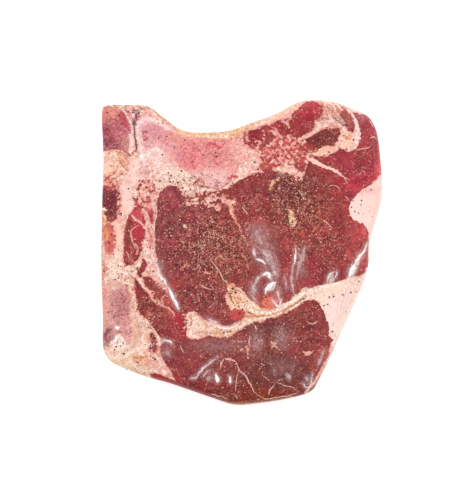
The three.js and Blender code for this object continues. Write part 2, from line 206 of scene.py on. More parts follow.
# Lines and pieces of fat inside the muscles: a path with half-widths in millimetres, or a patch.
FAT_BANDS = {
    "outer seam": ([300.4, 155.3, 309.6, 159.4, 317.8, 163.5, 325.9, 168, 332, 169.6, 339.2, 173.7,
      343.3, 176.7, 348.4, 180.8], 1.7, 0.4),
    "wedge seam": ([137.7, 275.8, 145.3, 287.7, 150.7, 295.3, 157.2, 302.9, 165.9, 306,
      171.3, 309.4, 175.6, 315.9, 176.7, 322.4, 175.6, 330, 176.7, 336.5], 1.3, 0.3),
    "upper sinew": ([282.6, 121, 286, 124, 288.5, 127], 1.1, 0.7),
    "upper sinew fork": ([290, 117.5, 287, 121, 286, 124], 0.9, 0.7),
    "patch divide": ([262, 137, 264, 132, 270, 131, 275, 134, 279, 140], 0.9, 0.8),
    "patch fork": ([257, 148, 263, 143, 268, 146, 274, 142], 0.9, 0.6),
    "orange streak": ([230, 211, 233.5, 218, 238, 225, 241.6, 234], 1.2, 0.25),
    "tan marbling": ([271, 188, 274, 181, 279, 178.5], 0.8, 0.6),
    "pocket bridge": ([131, 232.9, 131.8, 240, 134.9, 248], 0.45, 0.5),
    "sinew": ([148.5, 322.4, 154, 330, 159.4, 337.6, 160.5, 344, 159.4, 349.5], 0.5, 0.9),
}
FAT_PATCHES = {
    "tongue": [278.5, 165, 281, 161.5, 285, 164, 290, 167.5, 295, 167, 298, 171, 301.5, 172,
      302.5, 178, 299, 177.5, 297, 180.5, 292, 175.5, 288, 175, 284, 171.5, 280, 170],
    "cream left": [186, 194, 191, 192, 194, 196, 197, 200, 195.6, 206, 191, 203.6, 189, 206.4,
      186.6, 200],
    "cream middle": [206.6, 194, 210, 196, 213.6, 194, 214, 200, 211.4, 203.4, 214.6, 205,
      220, 205.4, 221, 209, 217, 212, 213, 209, 208, 204.4, 206.8, 200],
    "pink right": [221.6, 196, 227, 195.6, 232, 199, 236.6, 202.4, 234, 206, 235, 211, 231, 214,
      229, 208, 226, 204, 222, 201],
    "cream blob": [288.5, 213, 290.5, 209.5, 292.5, 212, 293, 217, 296.5, 221.5, 295, 226,
      291, 226.5, 289, 222],
    "lower knot": [238.5, 346.5, 243, 349.5, 247, 346, 249.5, 350.5, 250.5, 354.5, 248.8, 359.5,
      247, 354.5, 243, 352.5],
    "upper wisp": [302.3, 350.2, 305, 351.8, 311, 350.5, 309, 354, 305, 354.8],
}

# Zones where noise decides between lean and fat: how strongly, and how many millimetres towards
# fat the field leans there.
MOTTLED = {
    "marbled muscle": (280, 152, 25, 18, 1.0, 0.2),
    "marbled right": (300, 158, 8, 12, 0.9, -0.3),
    "bone edge": (243, 150, 10, 12, 0.8, 0.75),
    "eye top": (207, 199, 22, 9, 0.9, 0.06),
    "eye top left": (187, 198, 7, 8, 0.85, 0.15),
    "eye top right": (232, 192, 11, 8, 0.8, -0.3),
    "eye under tongue": (288, 178, 16, 6, 0.7, -0.45),
    "holed fat": (147, 190, 11, 15, 1.0, 0.16),
    "holed low": (143, 201, 9, 8, 1.0, 0.0),
    "pocket": (134, 240, 10, 25, 0.85, -0.35),
    "pocket top": (147, 214, 9, 8, 0.8, -0.15),
    "left side": (111, 184, 9, 8, 0.95, -0.05),
    "left side edge": (117, 203, 5, 18, 0.9, -0.15),
    "left low": (109, 228, 7, 16, 0.9, -0.15),
    "streaky corner": (332, 108, 13, 8, 0.9, 0.35),
    "pale corner": (326, 123, 11, 7, 0.8, 0.6),
    "lower middle": (246, 346, 9, 12, 0.6, -0.5),
    "sinew gap": (152, 344, 7, 9, 0.8, 0.15),
    "junction": (127, 280, 9, 10, 0.8, 0.6),
    "wedge low": (170, 328, 7, 12, 0.6, -0.5),
    "inner patch": (236, 297, 11, 14, 0.8, 0.5),
    "inner patch edge": (226, 288, 7, 8, 0.7, -0.1),
    "lower top": (276, 322, 30, 5, 0.5, -0.6),
    "lilac zone": (149, 174, 6, 7, 0.8, 0.3),
    "dark patches": (256, 138, 15, 11, 0.9, 0.12),
    "strip low": (180, 320, 8, 16, 0.85, -0.75),
    "left low edge": (110, 240, 7, 14, 0.8, -0.5),
    "strip": (163, 293, 11, 14, 0.8, 0.0),
}

# Zones of the lean's colours as the photo shows them.
LEAN_TINTS = {
    "eye left": (162, 235, 12, 40, (138, 56, 62)),
    "eye top left": (170, 200, 10, 12, (162, 68, 80)),
    "eye left middle": (195, 240, 22, 26, (146, 60, 64)),
    "eye middle": (228, 252, 22, 26, (164, 72, 60)),
    "eye low": (200, 298, 26, 14, (150, 62, 66)),
    "eye spiced": (305, 215, 24, 22, (156, 62, 50)),
    "eye brown top": (290, 188, 22, 12, (118, 52, 50)),
    "eye right": (335, 228, 18, 24, (158, 60, 60)),
    "eye lower right": (325, 265, 22, 14, (156, 56, 62)),
    "far right": (354, 252, 10, 18, (178, 74, 74)),
    "right edge": (364, 234, 7, 12, (206, 88, 86)),
    "eye under veil": (272, 265, 18, 24, (146, 62, 60)),
    "eye right of veil": (287, 262, 7, 26, (166, 60, 66)),
    "eye upper left": (250, 200, 18, 16, (152, 56, 56)),
    "eye magenta": (248, 222, 9, 14, (162, 56, 62)),
    "orange corner": (269, 303, 9, 6, (214, 90, 66)),
    "islet": (238, 313, 8, 4, (214, 88, 82)),
    "upper bright": (312, 109, 10, 9, (184, 56, 68)),
    "upper low": (298, 128, 16, 9, (158, 50, 56)),
    "dark patches": (258, 136, 11, 9, (150, 38, 48)),
    "marbled": (284, 153, 20, 12, (208, 84, 82)),
    "brown band": (322, 139, 18, 8, (118, 48, 40)),
    "corner": (346, 119, 8, 8, (160, 78, 72)),
    "outer top": (367, 128, 9, 14, (168, 64, 72)),
    "outer": (348, 164, 22, 14, (162, 52, 64)),
    "outer magenta": (360, 181, 14, 8, (186, 50, 72)),
    "outer edge": (381, 165, 4, 14, (206, 70, 72)),
    "lower left": (182, 358, 18, 20, (146, 58, 60)),
    "lower": (228, 350, 22, 14, (140, 58, 54)),
    "lower brown": (275, 372, 24, 14, (116, 60, 54)),
    "lower right": (305, 335, 18, 18, (146, 62, 58)),
    "lower upper": (272, 328, 22, 8, (112, 46, 42)),
    "lower edge": (322, 362, 6, 18, (180, 82, 76)),
    "lower bottom": (262, 397, 34, 7, (132, 48, 12)),
    "lower bottom left": (208, 390, 20, 6, (136, 40, 42)),
    "wedge": (150, 302, 14, 20, (150, 54, 50)),
    "strip": (165, 295, 12, 14, (188, 82, 72)),
    "strip low": (181, 324, 7, 16, (170, 46, 60)),
    "edge strip": (165, 380, 16, 6, (172, 44, 48)),
    "pocket": (138, 228, 8, 12, (182, 62, 68)),
    "pocket upper": (147, 211, 9, 7, (208, 92, 98)),
    "pocket low": (131, 250, 9, 14, (166, 58, 54)),
    "holed": (148, 188, 9, 13, (178, 72, 84)),
    "left top": (109, 182, 7, 6, (218, 100, 96)),
    "left side": (108, 203, 8, 14, (112, 42, 46)),
    "left low": (108, 238, 7, 14, (220, 122, 104)),
    "lilac zone": (149, 174, 5, 6, (196, 104, 122)),
    "outer mauve": (361, 119, 6, 6, (184, 112, 114)),
    "outer blend": (372, 184, 8, 5, (216, 84, 96)),
    "bottom left": (192, 380, 12, 6, (132, 32, 38)),
}

# Zones of the fat's colours.
FAT_TINTS = {
    "outer fat": (364, 206, 16, 20, (253, 216, 206)),
    "corner fat": (338, 312, 16, 22, (252, 221, 213)),
    "seam left": (197, 324, 14, 10, (255, 218, 198)),
    "seam middle": (236, 330, 24, 9, (238, 178, 142)),
    "seam right": (300, 296, 34, 12, (254, 229, 209)),
    "seam end": (330, 290, 16, 8, (252, 216, 196)),
    "inner patch": (236, 296, 10, 14, (255, 208, 172)),
    "tongue": (290, 170, 12, 8, (252, 196, 178)),
    "finger": (322, 151, 18, 6, (246, 190, 164)),
    "blob": (347, 141, 10, 9, (242, 190, 174)),
    "outer seam": (324, 168, 20, 8, (254, 208, 192)),
    "band top": (133, 172, 8, 14, (253, 204, 194)),
    "band middle": (126, 198, 5, 14, (253, 208, 196)),
    "band low": (116, 236, 5, 18, (252, 202, 184)),
    "band left edge": (119, 200, 3, 16, (222, 148, 146)),
    "junction": (120, 268, 14, 12, (253, 214, 194)),
    "holed fat": (152, 182, 10, 14, (246, 186, 172)),
    "eye border": (154, 232, 4, 34, (246, 184, 174)),
    "streak side": (163, 284, 9, 12, (244, 190, 174)),
    "lower left": (118, 364, 20, 10, (255, 221, 184)),
    "lower left edge": (136, 374, 22, 6, (250, 214, 190)),
    "orange patch": (138, 359, 7, 4, (234, 156, 104)),
    "pink strip": (164, 362, 14, 14, (240, 172, 158)),
    "spine halo": (136, 312, 5, 30, (250, 208, 184)),
    "spine left": (104, 320, 5, 30, (226, 156, 146)),
    "spine foot": (118, 352, 16, 6, (253, 222, 200)),
    "pale notch": (244, 150, 14, 16, (240, 164, 156)),
    "below hip": (188, 186, 36, 9, (253, 216, 194)),
    "below hip left": (160, 170, 12, 10, (252, 214, 200)),
    "ligament": (114, 162, 12, 14, (248, 192, 168)),
    "ligament right": (126, 163, 5, 9, (222, 160, 132)),
    "ligament low": (116, 176, 10, 4, (240, 176, 150)),
    "purple wedge": (137, 113, 6, 5, (192, 124, 134)),
    "crest": (150, 112, 10, 5, (236, 172, 164)),
    "streaky corner": (332, 108, 12, 8, (236, 176, 156)),
    "pale corner": (326, 123, 11, 7, (222, 168, 156)),
    "bone right": (252, 158, 8, 10, (246, 182, 166)),
    "lilac zone": (149, 174, 6, 7, (228, 168, 170)),
    "outer fat edge": (365, 191, 10, 4, (246, 184, 176)),
    "seam blob": (195, 320, 9, 9, (254, 218, 194)),
    "seam low": (268, 314, 30, 5, (230, 168, 134)),
    "left low": (107, 238, 8, 16, (232, 150, 124)),
    "bottom gold": (256, 403, 46, 3, (190, 118, 72)),
    "orange streak": (236, 220, 7, 12, (238, 158, 130)),
}

# Things drawn on the cut face over lean, fat and bone: a path with half-widths in millimetres at
# its start and end, or a patch's edge alone, and a colour. Later ones cover earlier ones.
MARKS = {
    "bone sheath": ([125.2, 114, 130.3, 123.7, 132.8, 132.8, 133.8, 141, 132.3, 148.2], 0.7, 0.8,
      (242, 194, 188)),
    "purple cleft": ([138, 112, 137, 117, 135, 122.5], 1.3, 0.6, (158, 94, 100)),
    "lilac spot": ([137.4, 112.6, 139.6, 111.8], 0.6, 0.4, (190, 146, 164)),
    "cleft dark": ([136.6, 115, 136.2, 119.5], 0.5, 0.5, (104, 54, 60)),
    "crest red": ([126.6, 111.4, 129, 112.8], 0.5, 0.4, (190, 76, 80)),
    "crest brown": ([133.8, 110.8, 135.4, 111.8], 0.45, 0.4, (140, 66, 62)),
    "crest right": ([140.5, 108.6, 143.6, 109.4], 0.55, 0.35, (166, 82, 84)),
    "crack": ([134.3, 124.5, 134.3, 129, 134.8, 134, 135.8, 140, 136.9, 146.5, 137, 149.6], 0.28,
      0.5, (104, 34, 38)),
    "crack pit": ([133.6, 123.2, 134.8, 125.4], 0.75, 0.75, (104, 56, 56)),
    "crack foot": ([136.6, 149.6, 134.5, 152, 130.8, 155.4, 128, 153.6, 124.6, 151.4], 0.6, 0.45,
      (176, 92, 74)),
    "saw line top": ([104.5, 141.8, 110, 142.6, 116, 142], 0.28, 0.2, (112, 36, 56)),
    "saw line": ([104.5, 144.5, 113, 145.4, 121, 144.6], 0.28, 0.2, (112, 36, 56)),
    "saw line low": ([106, 147.3, 114, 148, 121, 147.4], 0.3, 0.2, (146, 58, 74)),
    "sacrum arch": ([111, 126.5, 112.4, 124.2, 115, 123.6, 117.6, 125.4, 116.6, 128.6,
      112.6, 128.4], 0.25, 0.2, (168, 80, 94)),
    "sacrum line": ([107, 120.4, 112, 119.4, 118, 120.8], 0.28, 0.2, (164, 78, 80)),
    "sacrum dark": ([104.4, 131, 107.6, 129.6, 110, 132], 0.6, 0.4, (122, 42, 60)),
    "hip line": ([192, 140.6, 195, 145.6, 199, 149.6, 201, 154], 0.25, 0.2, (206, 92, 104)),
    "hip line right": ([226, 141, 222, 146.6, 217.6, 150.6, 214, 156], 0.25, 0.2, (200, 84, 96)),
    "hip line left": ([186, 166, 183, 161, 184, 155, 188, 151], 0.25, 0.2, (212, 98, 110)),
    "hip red": ([207, 145, 212.6, 144, 218.6, 147], 0.8, 0.7, (212, 84, 94)),
    "hip red low": ([192, 164, 194.6, 168.6], 0.8, 0.6, (222, 96, 108)),
    "arc line": ([195, 184.6, 203, 186.4, 210.4, 187.6, 216.5, 189.2, 222.6, 187.2, 227.4, 182],
      0.35, 0.3, (206, 108, 106)),
    "orange spot": ([196.6, 181.6, 200, 180.6, 203.6, 183], 0.8, 0.5, (196, 110, 92)),
    "red spot": ([229, 178.4, 233, 176.4, 237, 177], 0.9, 0.6, (190, 66, 74)),
    "pale cylinder": ([105, 168, 109, 161, 112, 155.6, 115.6, 153.4, 118, 157, 117.4, 163,
      114.4, 169, 110, 173, 105, 174.6], (252, 200, 176)),
    "fold edge": ([104.5, 158, 107.5, 156.5, 110.5, 152, 115, 150.3, 119, 153.5, 120.4, 159,
      119.2, 165, 116.5, 170.5, 112.5, 175, 105.5, 178], 0.25, 0.45, (218, 138, 108)),
    "fold line": ([119.5, 152, 124, 155, 127.6, 160, 130, 165.6], 0.3, 0.2, (206, 124, 94)),
    "fold line low": ([120.6, 162, 124, 167.6, 129.5, 171], 0.3, 0.25, (184, 108, 84)),
    "fold foot": ([108, 183, 114, 179, 120, 175.5, 126.6, 173.5], 0.35, 0.25, (206, 118, 94)),
    "fold corner": ([104.8, 176.8, 108.5, 177.6, 111, 175.8], 0.5, 0.3, (172, 76, 62)),
    "side cream": ([104.2, 208.6, 106.4, 210.6], 0.8, 0.6, (252, 228, 198)),
    "side cream low": ([104.2, 215.6, 105.6, 219, 104.8, 224], 0.7, 0.6, (240, 196, 148)),
    "side tan": ([104.6, 228, 107, 234, 107, 240], 0.9, 0.6, (222, 150, 104)),
    "hole one": ([137.6, 189.6, 139.4, 188.8], 0.7, 0.5, (140, 42, 54)),
    "hole two": ([135, 200, 137.4, 198.6], 0.8, 0.7, (146, 50, 58)),
    "hole three": ([135, 205, 138, 204], 0.7, 0.5, (190, 78, 86)),
    "hole four": ([151, 191.6, 153.2, 191], 0.5, 0.4, (150, 50, 60)),
    "pocket red": ([131, 213.4, 136, 210, 141, 212, 143, 217, 140, 220.4, 135, 218.5, 131.4, 217],
      (204, 82, 88)),
    "pocket dark": ([127.4, 220.6, 131, 219.4, 133.3, 223, 132.2, 228, 130.4, 233, 130.8, 240,
      129.6, 246, 125.7, 249.6, 125.2, 240, 125.8, 230], (136, 58, 50)),
    "pocket oval": ([134.5, 226.4, 138, 223.4, 142, 225, 143.6, 229, 142.2, 234.2, 138, 238,
      134.2, 238.4, 132.8, 233], (188, 52, 64)),
    "pocket ring": ([132.8, 216, 136, 220, 141, 222.4, 144.8, 227.6], 0.5, 0.6, (246, 196, 182)),
    "pocket band": ([143.5, 210.6, 146.5, 216, 148.5, 224, 147.8, 231, 146.6, 238], 1.3, 1.0,
      (242, 180, 166)),
    "pocket right": ([150.2, 213, 152.4, 219, 151.8, 223], 1.1, 0.7, (186, 66, 76)),
    "pocket pink": ([149, 231, 151.4, 238, 150.4, 246], 0.8, 0.7, (222, 124, 120)),
    "pocket knob": ([136, 244.6, 138.6, 249.6, 136.4, 254], 0.6, 0.5, (236, 168, 154)),
    "pocket brown": ([139.6, 246, 140, 252, 136.4, 258.6], 0.5, 0.5, (120, 52, 46)),
    "slit": ([136.8, 267.3, 139.2, 272, 141, 276.6], 0.4, 0.6, (104, 44, 40)),
    "slit low": ([135.2, 279, 136.6, 284, 138.6, 288], 0.9, 0.45, (98, 40, 34)),
    "swirl": ([129.6, 274, 133, 277, 134.8, 283, 133.8, 288, 132.2, 291.6], 0.35, 0.35,
      (204, 98, 72)),
    "swirl left": ([121.6, 287, 126.5, 284.6, 131, 286.4, 133, 290], 0.3, 0.3, (206, 112, 86)),
    "swirl top": ([124, 279.4, 129, 277.6], 0.4, 0.3, (214, 108, 86)),
    "swirl low": ([126.6, 291, 130, 295, 131.6, 301, 132.6, 307], 0.3, 0.25, (216, 124, 98)),
    "left swirl": ([103.4, 265, 106.6, 268, 104.6, 273], 0.5, 0.35, (206, 106, 80)),
    "spine edge": ([104, 288.4, 110, 283, 118, 282, 125, 285.6, 130.5, 293.4, 134, 305, 136.5, 318,
      140.4, 330], 0.25, 0.25, (228, 158, 138)),
    "spine dark": ([106, 334.4, 108.6, 330.4, 111, 327.4], 0.9, 0.6, (126, 70, 76)),
    "spine dark low": ([105.6, 336.6, 107.4, 341.6], 0.7, 0.5, (146, 78, 74)),
    "spine pale": ([110.5, 343.6, 114, 339, 118.6, 334, 124, 339.6, 127, 345, 120, 350],
      (253, 226, 210)),
    "low curl": ([133.6, 356, 140, 358.4, 146, 357, 149, 361, 145, 365], 0.3, 0.3, (212, 136, 94)),
    "low line": ([112, 371, 124, 374.6, 138, 374.6, 149, 372], 0.3, 0.25, (224, 158, 120)),
    "pale strap": ([127.6, 353.6, 137, 348.6, 146, 346.6, 153.6, 343.6], 0.8, 0.6, (252, 224, 206)),
    "low slit": ([150.3, 334, 152, 339, 153.2, 345], 0.6, 0.5, (124, 48, 44)),
    "black nick": ([149.4, 319.8, 151, 321.6], 0.5, 0.4, (52, 22, 22)),
    "blob line": ([189.6, 316, 192, 320.6, 190, 326], 0.55, 0.4, (214, 122, 96)),
    "blob line right": ([203, 321, 206.6, 325.4, 205, 330], 0.35, 0.3, (226, 146, 116)),
    "blob line low": ([196, 333, 204, 331.6, 212, 333.6], 0.3, 0.3, (222, 142, 110)),
    "seam rib": ([243, 303, 250, 309, 258, 312.4, 270, 312.2, 279, 309, 289, 303.2, 298, 296.4,
      306, 291.2, 316, 289, 326, 285.6, 338, 283], 0.8, 0.7, (254, 234, 216)),
    "seam rib low": ([233, 329.4, 243, 324.6, 252, 319.6, 262, 318.2, 272, 315.2, 280, 311.6,
      290, 306, 299, 300, 306, 294], 0.7, 0.6, (253, 224, 202)),
    "seam middle line": ([246, 311, 256, 315.4, 268, 315.4, 278, 312, 288, 306.6, 298, 300.4,
      305, 295], 0.3, 0.35, (206, 134, 108)),
    "seam line left": ([246, 316, 252, 316.4, 260, 315.8], 0.6, 0.4, (216, 130, 92)),
    "orange corner": ([261.6, 303.4, 264.6, 298.4, 271, 298.2, 277, 300.8, 277.6, 305, 272, 308.2,
      265, 308], (226, 124, 102)),
    "patch line": ([232, 286.6, 236, 291, 234, 297, 238, 303], 0.4, 0.3, (196, 106, 76)),
    "patch white": ([241, 292.6, 246, 298, 252, 304, 258, 308], 0.35, 0.5, (253, 228, 200)),
    "patch dark": ([237, 297, 242, 301.4, 247, 306.4], 0.35, 0.3, (206, 128, 90)),
    "patch notch": ([231.6, 291, 230.6, 297, 233, 303], 0.45, 0.3, (150, 70, 52)),
    "corner streak one": ([325, 99.4, 331, 104, 335, 109.4], 0.45, 0.3, (253, 222, 204)),
    "corner streak two": ([329.4, 100.4, 334, 105, 338, 110], 0.4, 0.3, (206, 128, 98)),
    "corner streak three": ([333.4, 101.6, 338, 106, 341, 110.4], 0.4, 0.3, (250, 214, 190)),
    "corner streak four": ([321.4, 104.4, 327, 108, 332, 112], 0.4, 0.3, (166, 92, 78)),
    "corner streak five": ([337.4, 102.6, 342, 107, 346, 109], 0.4, 0.3, (198, 110, 92)),
    "corner nick": ([318.6, 105.6, 322.4, 108.8], 0.55, 0.4, (146, 44, 50)),
    "corner brown": ([341, 111.6, 346, 112.4, 350, 116.5, 351.6, 122, 351, 128, 347.4, 126,
      345, 121, 342, 116], (172, 92, 84)),
    "dark slit": ([333.5, 118, 337.5, 121.4, 342.5, 124.8, 346, 126], 0.3, 0.55, (94, 46, 44)),
    "patch fold": ([316, 122, 321, 119, 327, 118.6], 0.35, 0.3, (182, 118, 108)),
    "patch fold mid": ([320, 124.6, 326, 121.6, 332, 122.6], 0.3, 0.3, (240, 196, 182)),
    "corner arc": ([347.6, 110.6, 352, 115.4, 355, 121.4, 357, 128, 358.4, 134, 357.2, 140.4,
      354, 147], 0.7, 1.3, (250, 212, 202)),
    "fat blob": ([338, 141, 339.4, 136.4, 343, 133, 348, 132, 352, 133.4, 355.2, 138, 355, 144,
      351.5, 149.6, 347, 150.6, 341.4, 148, 338.4, 145], (247, 194, 176)),
    "blob centre": ([343.6, 136, 347, 137.4, 350.6, 136.4], 0.5, 0.4, (226, 146, 98)),
    "blob centre low": ([345, 138.8, 349.6, 139], 0.4, 0.4, (214, 130, 96)),
    "red one": ([249.4, 134.5, 253, 130.8, 258.5, 129.8, 262.3, 132.5, 261.4, 137.2, 256, 138.3,
      251, 137.8], (146, 34, 48)),
    "red two": ([260.8, 127.6, 265, 125.4, 270.3, 127.2, 270, 130.8, 264.6, 131.3], (160, 48, 56)),
    "red three": ([258.4, 146, 262, 143.5, 266, 139, 268, 135, 272.8, 135.8, 272, 141, 268, 144.8,
      262, 149.2], (156, 56, 58)),
    "red four": ([246.5, 142, 251, 146.4, 254, 149], 0.9, 0.6, (172, 66, 72)),
    "orange fleck": ([263, 166, 266, 164.6, 268, 167, 265.4, 169], (214, 118, 96)),
    "point": ([302.6, 144, 305, 141.6], 0.5, 0.35, (252, 224, 210)),
    "tongue grey": ([279.6, 173.6, 284, 176], 1.0, 0.8, (170, 138, 132)),
    "marbling one": ([272.5, 181.5, 276, 179.5, 278.5, 180.5], 0.7, 0.5, (234, 188, 150)),
    "marbling two": ([269.5, 189, 272, 185, 274, 183], 0.6, 0.4, (216, 166, 122)),
    "marbling three": ([298, 190, 303, 194, 305, 199], 0.35, 0.3, (222, 160, 122)),
    "edge strip": ([152, 375.4, 158, 377.6, 166, 380.4, 174, 384.6, 182, 389], 1.1, 2.0,
      (168, 42, 48)),
    "low red line": ([190, 389, 205, 394, 218, 398.6], 0.6, 0.6, (170, 52, 56)),
    "eye tan one": ([180, 240, 184, 243.6, 183, 248], 0.4, 0.3, (222, 140, 112)),
    "eye tan two": ([183, 268, 190, 266, 194, 269], 0.5, 0.3, (232, 158, 130)),
    "eye tan three": ([205.6, 272, 209.6, 273.6], 0.8, 0.5, (236, 168, 142)),
    "eye tan four": ([187, 262, 184.4, 267.6], 0.4, 0.3, (226, 146, 120)),
    "eye pale one": ([184.4, 226, 186, 227.6], 0.7, 0.5, (240, 212, 190)),
    "eye tan five": ([226, 281, 229, 286, 232, 289.4], 0.7, 0.5, (240, 168, 126)),
    "eye tan run": ([243, 254, 247, 261, 248, 268], 0.3, 0.25, (214, 142, 110)),
    "sacrum crimson": ([123.6, 113, 127, 118.4, 130.4, 126, 131, 134, 127.4, 129.4, 123, 122.6,
      122, 117], (186, 74, 86)),
    "hip blotch": ([143, 133.6, 145, 131.6, 147.6, 133.4], 0.5, 0.4, (164, 64, 78)),
    "hip blotch low": ([144.4, 139.4, 146.6, 140.4, 147.4, 137], 0.5, 0.3, (176, 80, 88)),
    "hip rim wide": ([137.4, 128, 141, 121.6, 147.5, 119.4, 154, 121, 162, 125.4, 168, 129.6], 1.3,
      0.8, (247, 206, 204)),
    "hip rim left": ([138.6, 127, 140.4, 138, 143, 149, 144.8, 156], 0.7, 1.1, (250, 214, 210)),
    "orange spot low": ([198.6, 185.4, 203, 186.4], 0.5, 0.4, (190, 100, 88)),
    "hole five": ([147, 181, 149.6, 180], 0.5, 0.4, (176, 74, 92)),
    "hole six": ([146.4, 188.4, 148.2, 188], 0.5, 0.4, (160, 56, 64)),
    "fold shade": ([121.6, 157, 125, 162, 126.6, 168], 1.5, 0.8, (226, 162, 136)),
    "corner grey": ([336.6, 117, 340.6, 119.4, 343.4, 123], 0.8, 0.5, (206, 160, 148)),
    "sinew strand": ([149, 322, 153, 329, 157.6, 337, 159.4, 345], 0.6, 0.6, (254, 224, 210)),
    "strip line": ([168, 309, 173, 317, 175.4, 328, 179, 339], 0.3, 0.2, (206, 96, 98)),
    "seam under": ([282, 311.6, 290, 307, 298, 302, 305, 297], 0.3, 0.35, (170, 84, 68)),
    "tan bit": ([148, 257.6, 150.6, 257], 0.6, 0.5, (224, 172, 130)),
    "tan bit low": ([148.4, 261.4, 149.6, 263], 0.5, 0.4, (206, 140, 104)),
    "cream blob": ([288.6, 213, 290.4, 209.6, 292.4, 212, 293, 217, 296.4, 221.6, 294.8, 226,
      291.2, 226.4, 289.2, 221], (250, 208, 160)),
    "cream blob dark": ([291.6, 219, 292.6, 223], 0.4, 0.3, (128, 70, 40)),
    "blob shadow": ([287.4, 214, 287.8, 221, 289.6, 226], 0.4, 0.3, (84, 34, 28)),
    "islet": ([231.4, 316, 234, 312, 239, 310, 243.2, 311.2, 243.6, 315, 240, 318.6, 234.4, 320],
      (206, 78, 76)),
    "gold edge": ([208, 397.6, 224, 401.6, 240, 403.2, 258, 402.2, 276, 399.6, 292, 396], 0.45, 0.4,
      (186, 112, 66)),
    "lower star": ([270.6, 341, 273.4, 342.2, 276.4, 340.4, 275.4, 344, 276.4, 347.4, 273.6, 346,
      271.4, 348.2, 272.4, 344.4], (240, 180, 164)),
    "hip mauve": ([150, 130, 162, 138, 174, 150, 182, 160], 1.4, 1.0, (214, 142, 150)),
    "hip knot": ([203, 143, 207, 147, 205, 151.6], 0.3, 0.2, (204, 96, 102)),
    "hip knot low": ([214, 161, 218, 164.6, 222, 163], 0.4, 0.3, (200, 88, 96)),
    "hip pale": ([146, 160, 150, 153, 156, 149, 162, 152], 0.9, 0.6, (252, 222, 212)),
    "streak run": ([242, 235, 245.6, 241, 248, 246], 0.35, 0.25, (226, 140, 112)),
    "band fringe": ([300.6, 146.4, 304.6, 150.6, 310, 152.6, 317, 150.6], 0.6, 0.4, (146, 66, 56)),
}

# Coloured borders along the outline: path, reach in millimetres and colour.
RIMS = {
    "upper rind left": ([105, 106, 112, 105.2, 130, 105.8, 147, 107, 158, 111.5, 170, 121,
      182, 130.5], 2.6, (194, 146, 112)),
    "upper rind": ([176, 126, 188, 132.5, 200, 134.5, 222, 135, 240, 131, 256, 124], 3.4,
      (228, 178, 136)),
    "upper rind edge": ([170, 119.5, 184, 129.5, 200, 131.8, 222, 132, 240, 128.4, 258, 121], 1.2,
      (206, 162, 118)),
    "upper rind right": ([252, 125, 266, 118.5, 280, 112, 292, 106, 302, 99.5], 2.8,
      (238, 186, 160)),
    "bottom rim": ([206, 397, 224, 402.6, 236, 404.6, 258, 404, 280, 401, 300, 396], 0.8,
      (178, 104, 60)),
    "corner film": ([369, 270, 358, 297, 345, 325, 332, 350], 3.0, (253, 238, 224)),
    "side film": ([384, 178, 383, 194, 378, 216, 371, 240, 370, 256], 1.6, (250, 226, 212)),
    "top corner": ([322, 99.5, 337, 103.5, 355, 109, 371, 116], 1.7, (242, 220, 208)),
    "left rim": ([102.4, 232, 102.6, 250, 103, 268, 103.4, 284], 1.2, (224, 160, 128)),
    "low right film": ([335, 344, 327, 361, 320, 373, 313, 384, 306, 391.4], 1.3, (236, 182, 164)),
}

# Zones where the fat lies calm, without swirls, and how much so.
CALM = {
    "outer fat": (366, 208, 20, 28, 0.92),
    "corner fat": (342, 308, 22, 30, 0.94),
    "band top": (133, 172, 5, 16, 0.7),
    "band middle": (126, 198, 5, 16, 0.75),
    "band low": (116, 232, 5, 18, 0.75),
    "upper rind": (205, 131, 36, 6, 0.4),
    "right rind": (278, 113, 24, 7, 0.5),
    "finger": (322, 151, 16, 5, 0.5),
    "outer seam": (324, 168, 22, 9, 0.7),
    "inner patch": (236, 297, 10, 12, 0.4),
    "blob": (348, 142, 9, 9, 0.5),
    "seam": (280, 310, 44, 10, 0.5),
    "lower left": (118, 360, 16, 12, 0.4),
}

